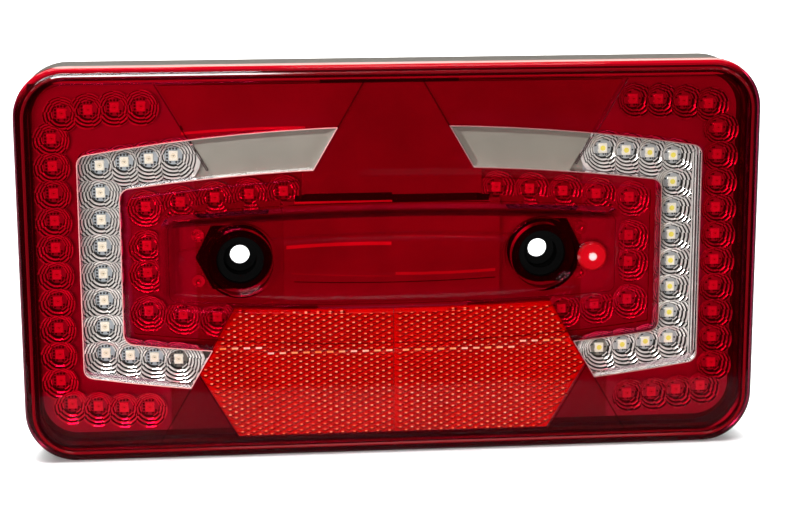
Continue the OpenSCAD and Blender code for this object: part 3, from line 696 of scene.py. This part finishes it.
# Holes round an LED, as (x, z) from its centre in millimetres
BLUE_BOARD_HOLES = [(-2.15, 2.2 - 1.1 * i) for i in range(5)] + [
    (-1.1, -2.25), (0.95, -2.25), (1.95, -2.2), (2.05, -1.35), (-1.1, 2.3), (0.0, 2.35), (1.1, 2.3)]
WHITE_BOARD_HOLES = [
    (2.3, 0.0), (-2.2, 2.3), (-1.6, 2.3), (-1.0, 2.3), (-2.0, -2.2), (-1.3, -2.2), (0.4, -2.2), (1.2, -2.2),
    (1.9, -2.2), (-2.4, 0.9)]


def build_holes(name, board, led_nodes, spots, radius, finish):
    """Discs painted nearly black round each LED of a board, as painted shade for its holes."""
    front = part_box(board)[0].y - HOLE_LIFT
    bm = bmesh.new()
    for node in led_nodes:
        for centre in led_centres(node):
            for dx, dz in spots:
                add_disc(bm, Vector((centre.x + dx * MM, front, centre.z + dz * MM)), radius, 10)
    return piece(name, bm, finish, slot="chip", smooth=0)


def board_finish(name, colour, track, plain, low):
    """Solder mask with tracks; its inner end is plain, and darker low down."""
    f = Finish(name)
    x, _, z = f.axes()
    side = f.math("ABSOLUTE", x)
    lanes = f.node("ShaderNodeTexBrick", Vector=f.place, Scale=90.0, Color1=(0.0, 0.0, 0.0),
                   Color2=(1.0, 1.0, 1.0), Mortar=(0.5, 0.5, 0.5), Mortar_Size=0.02)
    shade = f.tint(f.math("MULTIPLY", lanes.outputs["Color"], 0.35), colour, track)
    shade = f.tint(f.spread(f.noise(120.0), 0.35, 0.65, 0.0, 0.25), shade, darker(colour, 0.7))
    shade = f.tint(f.spread(side, MASK_START - MASK_BLUR, MASK_START + MASK_BLUR), plain, shade)
    low_inner = f.math("MULTIPLY", f.spread(z, DIM_TOP - DIM_BLUR, DIM_TOP, 1.0, 0.0),
                       f.spread(side, DIM_REACH - DIM_BLUR, DIM_REACH, 1.0, 0.0))
    shade = f.tint(low_inner, shade, darker(plain, low))
    body = f.node("ShaderNodeBsdfPrincipled", Base_Color=shade, Roughness=0.35,
                  Normal=f.bump(lanes.outputs["Color"], 0.15, 0.00004))
    return f.done(body.outputs[0])


class LAMP_OT_boards(bpy.types.Operator):
    """Finishes the circuit boards and what is soldered to them"""
    bl_idname = "lamp.boards"
    bl_label = "Circuit boards"

    def execute(self, context):
        plain = tuple(context.scene.lamp_colours.bezel)
        left = board_finish("Blue-grey solder mask", (0.34, 0.39, 0.43), (0.42, 0.46, 0.5), plain, 0.45)
        right = board_finish("White solder mask", (0.38, 0.40, 0.41), (0.5, 0.52, 0.53), plain, 0.8)
        dress("circuit_board_left", left)
        dress("circuit_board_right", right)
        dress("board_link", metallised("Ribbon", (0.55, 0.55, 0.57), 0.35))
        dress("board_screws", metallised("Zinc", (0.62, 0.62, 0.6), 0.3))
        dress("driver_chips", moulded("Chip black", (0.02, 0.02, 0.022), 0.4, 1800.0, 0.1))
        dress("resistors", moulded("Resistor glaze", (0.03, 0.03, 0.035), 0.25, 1800.0, 0.05))
        dress("wire_terminal", moulded("Terminal ivory", (0.72, 0.69, 0.6), 0.4))
        # Via discs painted nearly black: painted shade for the holes.
        hole = moulded("Via shadow", (0.012, 0.012, 0.014), 0.6)
        for side, window_leds, spots, radius in (("left", "indicator_leds", BLUE_BOARD_HOLES, 0.4 * MM),
                                                 ("right", "reverse_leds", WHITE_BOARD_HOLES, 0.34 * MM)):
            leds = (f"tail_leds_{side}", f"stop_leds_{side}", window_leds)
            build_holes(f"board_vias_{side}", f"circuit_board_{side}", leds, spots, radius, hole)
        return {"FINISHED"}


# Reflex reflector

def prism_finish(colour):
    """Red flank of a prism."""
    f = Finish("Reflex prisms")
    shade = f.tint(f.spread(f.noise(70.0), 0.35, 0.65), colour, darker(colour, 0.75))
    body = f.node("ShaderNodeBsdfPrincipled", Base_Color=shade, Roughness=0.2, Specular_IOR_Level=0.12,
                  Normal=f.bump(f.noise(1500.0, 2.0), 0.1, 0.0001))
    return f.done(body.outputs[0])


def fold_finish():
    """Painted highlight on the row of long tips along the fold, white in places and orange elsewhere."""
    f = Finish("Fold glints")
    shade = f.ramp(f.spread(f.noise(55.0, 1.0), 0.32, 0.68), (0.1, (0.85, 0.28, 0.04)),
                   (0.5, (0.92, 0.6, 0.25)), (0.85, (0.95, 0.88, 0.78)))
    return f.done(f.node("ShaderNodeBsdfPrincipled", Base_Color=shade, Roughness=0.25).outputs[0])


def glint_finish():
    """The flat tip of a prism, painted orange and pale yellow as a painted highlight for the light it throws
    back.
    """
    f = Finish("Reflex glints")
    drift = f.math("ADD", f.spread(f.noise(35.0, 2.0), 0.3, 0.7, 0.1, 0.5),
                   f.spread(f.noise(330.0, 1.0), 0.3, 0.7, 0.0, 0.5))
    shade = f.ramp(drift, (0.1, (0.8, 0.03, 0.02)), (0.42, (0.9, 0.25, 0.11)), (0.72, (0.95, 0.52, 0.28)),
                   (0.97, (0.98, 0.8, 0.6)))
    body = f.node("ShaderNodeBsdfPrincipled", Base_Color=shade, Roughness=0.25)
    return f.done(body.outputs[0])


def prism_cells(node):
    """Centres of the prism cells that lie on a reflector plate, each with whether its row is an odd one."""
    surface = surface_of(node)
    low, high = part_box(node)
    before, reach = PLATE_PROBE
    aside = PRISM_W * CELL_PROBE
    spots = ((0, 0), (aside, 0), (-aside, 0), (0, PRISM_H / 2), (0, -PRISM_H / 2))
    cells = []
    row = 0
    z = low.z + PRISM_H / 2
    while z < high.z:
        x = low.x + (PRISM_W / 2 if row % 2 else 0.0)
        while x < high.x:
            if all(behind(surface, x + dx, z + dz, low.y - before, reach) is not None for dx, dz in spots):
                cells.append((x, z, row % 2))
            x += PRISM_W
        z += PRISM_H
        row += 1
    return cells


def add_prism(bm, x, z, base, crest, odd):
    """One prism with its flat tip; those along the fold have wider tips of their own finish. The lower flanks
    are painted darker as painted shade, the tips pale as painted highlights.
    """
    flank, glint, fold_glint, shade = range(4)
    corner = [bm.verts.new((x + dx * PRISM_W / 2, base, z + dz * PRISM_H))
              for dx, dz in ((-1, 0), (0, -1), (1, 0), (0, 1))]
    fold = FOLD_CROWN - FOLD_RADIUS + math.sqrt(FOLD_RADIUS ** 2 - x ** 2)
    on_fold = not odd and abs(z + fold) < PRISM_H
    wide, tall = FOLD_TIP_SHARE if on_fold else TIP_SHARE
    tip = [bm.verts.new((x + dx * PRISM_W * wide, crest, z + (TIP_LIFT + dz * tall) * PRISM_H))
           for dx, dz in ((-1, -1), (1, -1), (1, 1), (-1, 1))]
    for i in range(4):
        j = (i + 1) % 4
        # The two lower flanks take the darker red: painted shade.
        finish = shade if i < 2 else flank
        bm.faces.new((corner[i], tip[j], tip[i])).material_index = finish
        bm.faces.new((corner[i], corner[j], tip[j])).material_index = finish
    bm.faces.new(tip).material_index = fold_glint if on_fold else glint


class LAMP_OT_reflector(bpy.types.Operator):
    """Makes the prisms of the reflex reflector behind the lens"""
    bl_idname = "lamp.reflector"
    bl_label = "Reflex reflector"

    def execute(self, context):
        # The reflex shade finish is red painted darker for the lower flanks, painted shade; the glint finishes
        # are painted highlights.
        finish = [prism_finish(tuple(context.scene.lamp_colours.prism)), glint_finish(), fold_finish(),
                  moulded("Reflex shade", (0.17, 0.0006, 0.0006), 0.3, 900.0, 0.05, specular=0.1)]
        for side in ("left", "right"):
            node = f"reflex_reflector_{side}"
            low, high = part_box(node)
            bm = bmesh.new()
            bm.from_mesh(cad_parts[node].data)
            bmesh.ops.translate(bm, verts=bm.verts, vec=(0, PRISM_RELIEF, 0))
            for vert in bm.verts:
                vert.co.y = min(vert.co.y, high.y)
            for x, z, odd in prism_cells(node):
                add_prism(bm, x, z, low.y + PRISM_RELIEF, low.y + TIP_SINK, odd)
            piece(f"reflex_prisms_{side}", bm, finish, node, slot="reflex", smooth=0)
        dress("reflex_backing", moulded("Reflector backing", (0.16, 0.001, 0.001), 0.35))
        return {"FINISHED"}


# Lens and windows

def from_edge(f):
    """Distance in from the lamp's outline."""
    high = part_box("front_lens")[1]
    x, _, z = f.axes()
    return f.math("MINIMUM", f.math("SUBTRACT", high.x, f.math("ABSOLUTE", x)),
                  f.math("SUBTRACT", high.z, f.math("ABSOLUTE", z)))


def near_top(f, elsewhere):
    """One along the top of the lamp, and the given share lower down."""
    start, full = BELOW_TOP
    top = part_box("front_lens")[1].z
    return f.spread(f.axes()[2], top - start, top - full, elsewhere, 1.0)


def rim_colour(f):
    """Red of the rim, with a paler pink line along its very edge that is a painted highlight."""
    return f.tint(f.spread(from_edge(f), *EDGE_HIGHLIGHT_BAND), (0.62, 0.34, 0.3), (0.55, 0.002, 0.012))


def painted_rim_light(f):
    """Share of red haze on the rim, painted by where the light falls: painted light, strong where it looks up
    and along the top, faint to the right, hardly any inside.
    """
    right, _, up = f.facing()
    lit = f.math("SUBTRACT", up, f.math("MULTIPLY", f.math("MAXIMUM", right, 0.0), 0.7))
    glow = f.math("MULTIPLY", f.spread(lit, 0.1, 0.6, 0.04, 0.6), near_top(f, 0.35))
    return f.math("ADD", f.math("MULTIPLY", glow, f.spread(from_edge(f), *RIM_END, 1.0, 0.0)), 0.008)


def over_prisms(f):
    """Distance inside the reflector's outline, where the lens is clearer."""
    x, _, z = f.axes()
    low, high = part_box("reflex_reflector_right")
    beside = f.math("ABSOLUTE", f.math("SUBTRACT", z, low.z + REFLEX_CORNER_RISE))
    end = f.math("SUBTRACT", high.x, f.math("MULTIPLY", beside, 1 / math.tan(SLANT)))
    return f.math("MINIMUM", f.math("SUBTRACT", end, f.math("ABSOLUTE", x)),
                  f.math("MINIMUM", f.math("SUBTRACT", z, low.z), f.math("SUBTRACT", high.z, z)))


def dye_and_groove_shade(colour):
    """Dye that is darker where the lens is thick or seen edge on, and faint over prisms; in the grooves it is
    painted darker as painted shade.
    """
    def made(f):
        thick = tuple(c * share for c, share in zip(colour, (0.3, 0.35, 0.35)))
        shade = f.tint(f.spread(from_edge(f), *THICK_BAND), thick, colour)
        cloud = f.spread(f.noise(25.0, 2.0), 0.3, 0.7, 0.93, 1.0)
        shade = f.tint(1.0, shade, f.grey(cloud), "MULTIPLY")
        groove_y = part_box("front_lens")[0].y + ISLAND_RISE + LINE_DEPTH
        off_groove = f.math("ABSOLUTE", f.math("SUBTRACT", f.axes()[1], groove_y))
        # Painted shade: the dye is darkened in the grooves of the face.
        shade = f.tint(f.spread(off_groove, *GROOVE_SHADE_BAND), darker(colour, 0.45), shade)
        shade = f.tint(f.spread(over_prisms(f), 0.0, 0.6 * MM), shade, PRISM_COVER)
        edge_on = f.node("ShaderNodeLayerWeight", Blend=0.5).outputs["Facing"]
        deep = f.tint(1.0, shade, (0.35, 0.25, 0.25), "MULTIPLY")
        return f.tint(f.spread(edge_on, 0.35, 0.95), shade, deep)
    return made


def bead_finish(colour):
    """Dark red ridge of the rim; its reflection is painted in where it looks up, and almost only along the
    top: a painted highlight.
    """
    f = Finish("Red bead")
    shade = f.tint(f.spread(f.noise(60.0, 3.0), 0.3, 0.7), darker(colour, 0.9), colour)
    shine = f.math("MULTIPLY", f.spread(f.facing()[2], 0.1, 0.6, 0.05, 0.85), near_top(f, 0.03))
    body = f.node("ShaderNodeBsdfPrincipled", Base_Color=shade, Specular_IOR_Level=shine,
                  Roughness=f.spread(f.noise(200.0), 0.3, 0.7, 0.06, 0.1))
    return f.done(body.outputs[0])


def plug_finish(middle, radius):
    """Red disc, pale pink at its middle and darker towards its margin."""
    f = Finish("Plug")
    x, _, z = f.axes()
    out = f.math("SQRT", f.math("ADD", f.math("POWER", f.math("SUBTRACT", x, middle.x), 2.0),
                                f.math("POWER", f.math("SUBTRACT", z, middle.z), 2.0)))
    shade = f.ramp(f.math("DIVIDE", out, radius), (0.0, (0.95, 0.62, 0.62)), (0.21, (0.9, 0.5, 0.5)),
                   (0.3, (0.5, 0.002, 0.008)), (0.85, (0.42, 0.002, 0.006)), (0.97, (0.25, 0.0015, 0.004)))
    body = f.node("ShaderNodeBsdfPrincipled", Base_Color=shade, Roughness=0.12,
                  Normal=f.bump(f.noise(400.0), 0.03, 0.0001))
    return f.done(body.outputs[0])


class LAMP_OT_lens(bpy.types.Operator):
    """Finishes the red lens and the plug beside the right well"""
    bl_idname = "lamp.lens"
    bl_label = "Red lens"

    def execute(self, context):
        dye = tuple(context.scene.lamp_colours.dye)
        red = see_through("Red lens", dye_and_groove_shade(dye), lambda f: f.bump(f.noise(160.0, 3.0), 0.02, 0.0002),
                          gloss=0.05, ior=1.13, haze=rim_colour, haze_of=painted_rim_light)
        dress("front_lens", red)
        low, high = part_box("front_lens")
        face = low.y + ISLAND_RISE
        crest = face - BEAD_H
        outer = BEAD_INSET - BEAD_TOP_W
        section = [(BEAD_INSET + BEAD_HALF_W, face), (BEAD_INSET, crest), (outer, crest),
                   (outer - BEAD_H / math.tan(MIRROR_PITCH), face)]
        bm = bmesh.new()
        add_frame(bm, high.x, high.z, LENS_CORNER, section)
        piece("rim_bead", bm, bead_finish((0.14, 0.0015, 0.004)), slot="red_lens")
        low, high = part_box("vent_plug")
        dress("vent_plug", plug_finish((low + high) / 2, (high.x - low.x) / 2))
        return {"FINISHED"}


def add_lip(bm, node, radius, step=False):
    """Fine bead along the front outline of a window, or along the slanting step in its face."""
    source = bmesh.new()
    source.from_mesh(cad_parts[node].data)
    bmesh.ops.remove_doubles(source, verts=source.verts, dist=1e-6)
    flat = {f for f in source.faces if f.normal.y < -0.5}
    floor = max(v.co.y for f in flat for v in f.verts)
    rim = [e for e in source.edges if sum(f in flat for f in e.link_faces) == 1
           and (min(v.co.y for v in e.verts) < floor - STEP_DEPTH) != step]
    turns = [math.tau * i / LIP_SIDES for i in range(LIP_SIDES)]
    for edge in rim:
        a, b = (v.co for v in edge.verts)
        across = (b - a).normalized().cross(INTO_LAMP).normalized()
        rings = [[bm.verts.new(p + radius * (across * math.cos(t) + INTO_LAMP * math.sin(t))) for t in turns]
                 for p in (a, b)]
        for i in range(LIP_SIDES):
            j = (i + 1) % LIP_SIDES
            bm.faces.new((rings[0][i], rings[1][i], rings[1][j], rings[0][j]))
    source.free()


class LAMP_OT_windows(bpy.types.Operator):
    """Finishes the clear windows"""
    bl_idname = "lamp.windows"
    bl_label = "Clear windows"

    def execute(self, context):
        clear = see_through("Clear window", lambda f: f.tint(0.5, (0.97, 0.96, 0.95), (0.93, 0.92, 0.91)),
                            lambda f: f.bump(f.noise(200.0), 0.02, 0.0002), gloss=0.03, ior=1.2)
        line = moulded("Window step shadow", (0.06, 0.035, 0.035), 0.1, 300.0, 0.02, 0.1)
        # The lips are painted highlights: pale pink on the left window and darker on the right, as the light
        # falls from the left.
        for side, pale in (("left", 1.0), ("right", 0.45)):
            edge = moulded(f"Window edge {side}", darker((0.72, 0.32, 0.32), pale), 0.1, 300.0, 0.02, 0.1)
            window = f"clear_window_{side}"
            dress(window, clear)
            bm = bmesh.new()
            add_lip(bm, window, LIP_RADIUS)
            piece(f"window_lip_{side}", bm, edge, slot="clear_lens")
            # The fine line along the slanting step is painted nearly black: painted shade.
            bm = bmesh.new()
            add_lip(bm, window, LINE_RADIUS, step=True)
            piece(f"window_step_shadow_{side}", bm, line, slot="clear_lens")
        return {"FINISHED"}


# Bezel and housing

# Painted light laid on the bezel: dark strips are painted shadow, pale, dull and faint ones are painted
# highlights and reflections.
# What shows on the bezel: lower left and lower right corner, height, how far the middle bows up, finish
Strip = namedtuple("Strip", "name left right height bow finish")
STRIPS = (
    Strip("bezel_slot_shadow_left", (-SLOT_REACH, SLOT_Z), (0.0, SLOT_Z), SLOT_H, 0.0, "dark"),
    Strip("bezel_slot_shadow_right", (0.0, RIGHT_SLOT_Z), (SLOT_REACH, RIGHT_SLOT_Z), SLOT_H, 0.0, "dark"),
    # The pale, dull and faint strips are painted highlights and painted reflections.
    Strip("bezel_slot_highlight", (-SLOT_REACH, SLOT_Z - HIGHLIGHT_STRIP_H), (0.0, SLOT_Z - HIGHLIGHT_STRIP_H), HIGHLIGHT_STRIP_H, 0.0, "pale"),
    Strip("bezel_highlight_upper", (-36.5 * MM, 3.6 * MM), (-0.3 * MM, 4.3 * MM), 1.2 * MM, 0.4 * MM, "pale"),
    Strip("bezel_highlight_lower", (1.1 * MM, -6.3 * MM), (36.0 * MM, -5.7 * MM), 1.0 * MM, -0.4 * MM, "dull"),
    Strip("bezel_highlight_line_upper", (0.3 * MM, 7.3 * MM), (36.0 * MM, 6.0 * MM), 0.4 * MM, 0.2 * MM, "faint"),
    Strip("bezel_highlight_line_lower", (-34.9 * MM, -5.2 * MM), (-0.3 * MM, -6.9 * MM), 0.4 * MM, -0.2 * MM, "faint"),
    Strip("bezel_groove_shadow", (-34.0 * MM, -8.1 * MM), (36.0 * MM, -8.1 * MM), 0.3 * MM, -0.9 * MM, "dark"),
    Strip("bezel_highlight_band", (-71.4 * MM, 44.3 * MM), (-29.7 * MM, 45.6 * MM), 0.9 * MM, 0.5 * MM, "pale"),
)


def build_strip(strip, bezel, finish):
    """Thin strip laid over the bezel, painted as a shadow or a highlight."""
    (x0, z0), (x1, z1) = strip.left, strip.right
    bm = bmesh.new()
    rows = []
    for i in range(STRIP_STEPS + 1):
        along = i / STRIP_STEPS
        x = x0 + (x1 - x0) * along
        z = z0 + (z1 - z0) * along + strip.bow * 4 * along * (1 - along)
        row = []
        for level in (z, z + strip.height):
            hit = behind(bezel, x, level, *STRIP_PROBE)
            row.append(bm.verts.new((x, (hit.y if hit else STRIP_Y) - STRIP_LIFT, level)))
        rows.append(row)
    for a, b in zip(rows, rows[1:]):
        bm.faces.new((a[0], b[0], b[1], a[1]))
    piece(strip.name, bm, finish, slot="bezel", smooth=0)


class LAMP_OT_bezel(bpy.types.Operator):
    """Finishes the bezel that shows through the plain tips of the windows"""
    bl_idname = "lamp.bezel"
    bl_label = "Bezel"

    def execute(self, context):
        plain = moulded("Bezel", tuple(context.scene.lamp_colours.bezel), 0.35, 700.0, 0.06, 0.08)
        dress("upper_bezel", plain)
        bezel = surface_of("upper_bezel")
        finishes = {
            # The dark finish is painted shadow.
            "dark": moulded("Slot shadow", (0.006, 0.004, 0.004), 0.5, specular=0.1),
            # The pale, dull and faint finishes are painted highlights.
            "pale": moulded("Slot highlight", (0.95, 0.6, 0.45), 0.2),
            "dull": moulded("Dim highlight", (0.62, 0.35, 0.28), 0.2),
            "faint": moulded("Faint highlight", (0.42, 0.3, 0.25), 0.2),
        }
        for strip in STRIPS:
            build_strip(strip, bezel, finishes[strip.finish])
        bm = bmesh.new()
        bottom, top = LEDGE_Z
        add_box(bm, Vector((0, LEDGE_Y, (bottom + top) / 2)), (2 * LEDGE_HALF_W, LEDGE_T, top - bottom))
        piece("bezel_ledge", bm, plain, slot="bezel", smooth=0)
        return {"FINISHED"}


class LAMP_OT_housing(bpy.types.Operator):
    """Finishes the housing, the seals and the cable grommet"""
    bl_idname = "lamp.housing"
    bl_label = "Housing"

    def execute(self, context):
        colour = tuple(context.scene.lamp_colours.housing)
        dress("rear_housing", moulded("Housing", colour, 0.5, 1100.0, 0.15, 0.1, specular=0.15))
        dress("perimeter_seal", moulded("Seal rubber", (0.015, 0.015, 0.015), 0.6))
        dress("cable_grommet", moulded("Grommet rubber", (0.02, 0.02, 0.02), 0.55))
        return {"FINISHED"}


class LAMP_OT_wells(bpy.types.Operator):
    """Finishes the black sleeves and the seals of the screw wells"""
    bl_idname = "lamp.wells"
    bl_label = "Screw wells"

    def execute(self, context):
        black = moulded("Well black", (0.003, 0.003, 0.003), 0.7, 500.0, 0.05, 0.2, specular=0.0)
        rubber = moulded("Well rubber", (0.004, 0.004, 0.004), 0.7, specular=0.0)
        for side in ("left", "right"):
            dress(f"well_sleeve_{side}", black)
            dress(f"well_seal_{side}", rubber)
        return {"FINISHED"}


# Studio

def area_light(name, place, aim, size, power, colour=(1.0, 1.0, 1.0)):
    data = bpy.data.lights.new(name, "AREA")
    data.shape = "RECTANGLE"
    data.size, data.size_y = size
    data.energy = power
    data.color = colour
    obj = bpy.data.objects.new(name, data)
    obj.location = place
    obj.rotation_euler = (Vector(aim) - Vector(place)).to_track_quat("-Z", "Y").to_euler()
    bpy.context.scene.collection.objects.link(obj)
    return obj


def surroundings(scene, strength):
    """Room with pale panels for the plated cups to mirror; what the flat face mirrors stays dark."""
    scene.world = bpy.data.worlds.new("Surroundings")
    scene.world.use_nodes = True
    net = Net(scene.world.node_tree, "ShaderNodeOutputWorld", "Generated")
    x, _, z = net.axes()
    front_on = net.node("ShaderNodeCombineXYZ", X=x, Y=z).outputs[0]
    panels = net.node("ShaderNodeTexBrick", Vector=front_on, Scale=1.0, Color1=(1.0, 1.0, 1.0),
                      Color2=(0.5, 0.51, 0.53), Mortar=(0.0, 0.0, 0.0), Mortar_Size=0.075,
                      Mortar_Smooth=0.1, Brick_Width=0.4, Row_Height=0.24)
    away = net.node("ShaderNodeVectorMath", {"operation": "DISTANCE"}, Vector=net.place)
    away.inputs[1].default_value = MIRRORED
    level = net.math("MULTIPLY", net.spread(away.outputs["Value"], 0.3, 0.5), strength)
    sky = net.node("ShaderNodeBackground", Color=panels.outputs["Color"], Strength=level)
    net.tree.links.new(sky.outputs[0], net.end.inputs["Surface"])


class LAMP_OT_stage(bpy.types.Operator):
    """Lays the floor, hangs the lights and sets the camera"""
    bl_idname = "lamp.stage"
    bl_label = "Studio"

    def execute(self, context):
        scene = context.scene
        studio = scene.studio
        low = PACKED_BOX[0][2]
        bm = bmesh.new()
        bm.faces.new([bm.verts.new((x, y, low)) for x, y in (
            (-FLOOR_HALF_W, FLOOR_FRONT), (FLOOR_HALF_W, FLOOR_FRONT),
            (FLOOR_HALF_W, FLOOR_BACK), (-FLOOR_HALF_W, FLOOR_BACK))])
        mesh = bpy.data.meshes.new("floor")
        bm.to_mesh(mesh)
        bm.free()
        floor = bpy.data.objects.new("floor", mesh)
        scene.collection.objects.link(floor)
        f = Finish("Pale floor")
        shade = f.tint(f.spread(f.noise(3.0), 0.3, 0.7), (0.90, 0.90, 0.90), (0.93, 0.93, 0.93))
        body = f.node("ShaderNodeBsdfPrincipled", Base_Color=shade, Roughness=0.7)
        mesh.materials.append(f.done(body.outputs[0]))
        area_light("overhead", (-0.1, -0.1, 1.3), (0, 0, 0), (1.2, 0.4), studio.key)
        area_light("front", (-0.22, -1.3, 0.22), (0, 0, 0.06), (0.42, 0.2), studio.fill)
        area_light("backdrop", (0.0, 1.6, 1.8), (0, 1.1, -0.07), (3.0, 1.5), studio.backdrop)
        surroundings(scene, studio.sky)
        scene.view_settings.view_transform = "Standard"
        data = bpy.data.cameras.new("camera")
        data.lens = studio.lens
        data.sensor_width = 36.0
        data.clip_start = 0.01
        camera = bpy.data.objects.new("camera", data)
        ahead = Vector(CAMERA_AHEAD).normalized()
        level = ahead.cross(Vector((0, 0, 1))).normalized()
        across = level * math.cos(CAMERA_ROLL) + level.cross(ahead) * math.sin(CAMERA_ROLL)
        turn = Matrix((across, across.cross(ahead), -ahead)).transposed().to_4x4()
        camera.matrix_world = Matrix.Translation(CAMERA_PLACE) @ turn
        scene.collection.objects.link(camera)
        scene.camera = camera
        return {"FINISHED"}


class LAMP_PT_panel(bpy.types.Panel):
    bl_idname = "LAMP_PT_panel"
    bl_label = "Rear lamp"
    bl_space_type = "VIEW_3D"
    bl_region_type = "UI"
    bl_category = "Lamp"

    def draw(self, context):
        for group in (context.scene.lamp_colours, context.scene.cup_sizes, context.scene.studio):
            for key in group.bl_rna.properties.keys():
                if key not in ("rna_type", "name"):
                    self.layout.prop(group, key)
        for step in STEPS:
            self.layout.operator(step.bl_idname)


STEPS = (LAMP_OT_stage, LAMP_OT_housing, LAMP_OT_wells, LAMP_OT_boards, LAMP_OT_leds, LAMP_OT_cups,
         LAMP_OT_bezel, LAMP_OT_reflector, LAMP_OT_windows, LAMP_OT_lens)
CLASSES = (LampColours, CupSizes, StudioSettings, *STEPS, LAMP_PT_panel)


def register():
    for cls in CLASSES:
        bpy.utils.register_class(cls)
    bpy.types.Scene.lamp_colours = PointerProperty(type=LampColours)
    bpy.types.Scene.cup_sizes = PointerProperty(type=CupSizes)
    bpy.types.Scene.studio = PointerProperty(type=StudioSettings)


def unregister():
    del bpy.types.Scene.studio
    del bpy.types.Scene.cup_sizes
    del bpy.types.Scene.lamp_colours
    for cls in reversed(CLASSES):
        bpy.utils.unregister_class(cls)


def main():
    register()
    for step in STEPS:
        section, name = step.bl_idname.split(".")
        getattr(getattr(bpy.ops, section), name)()
    bpy.context.view_layer.update()


if __name__ == "__main__":
    main()
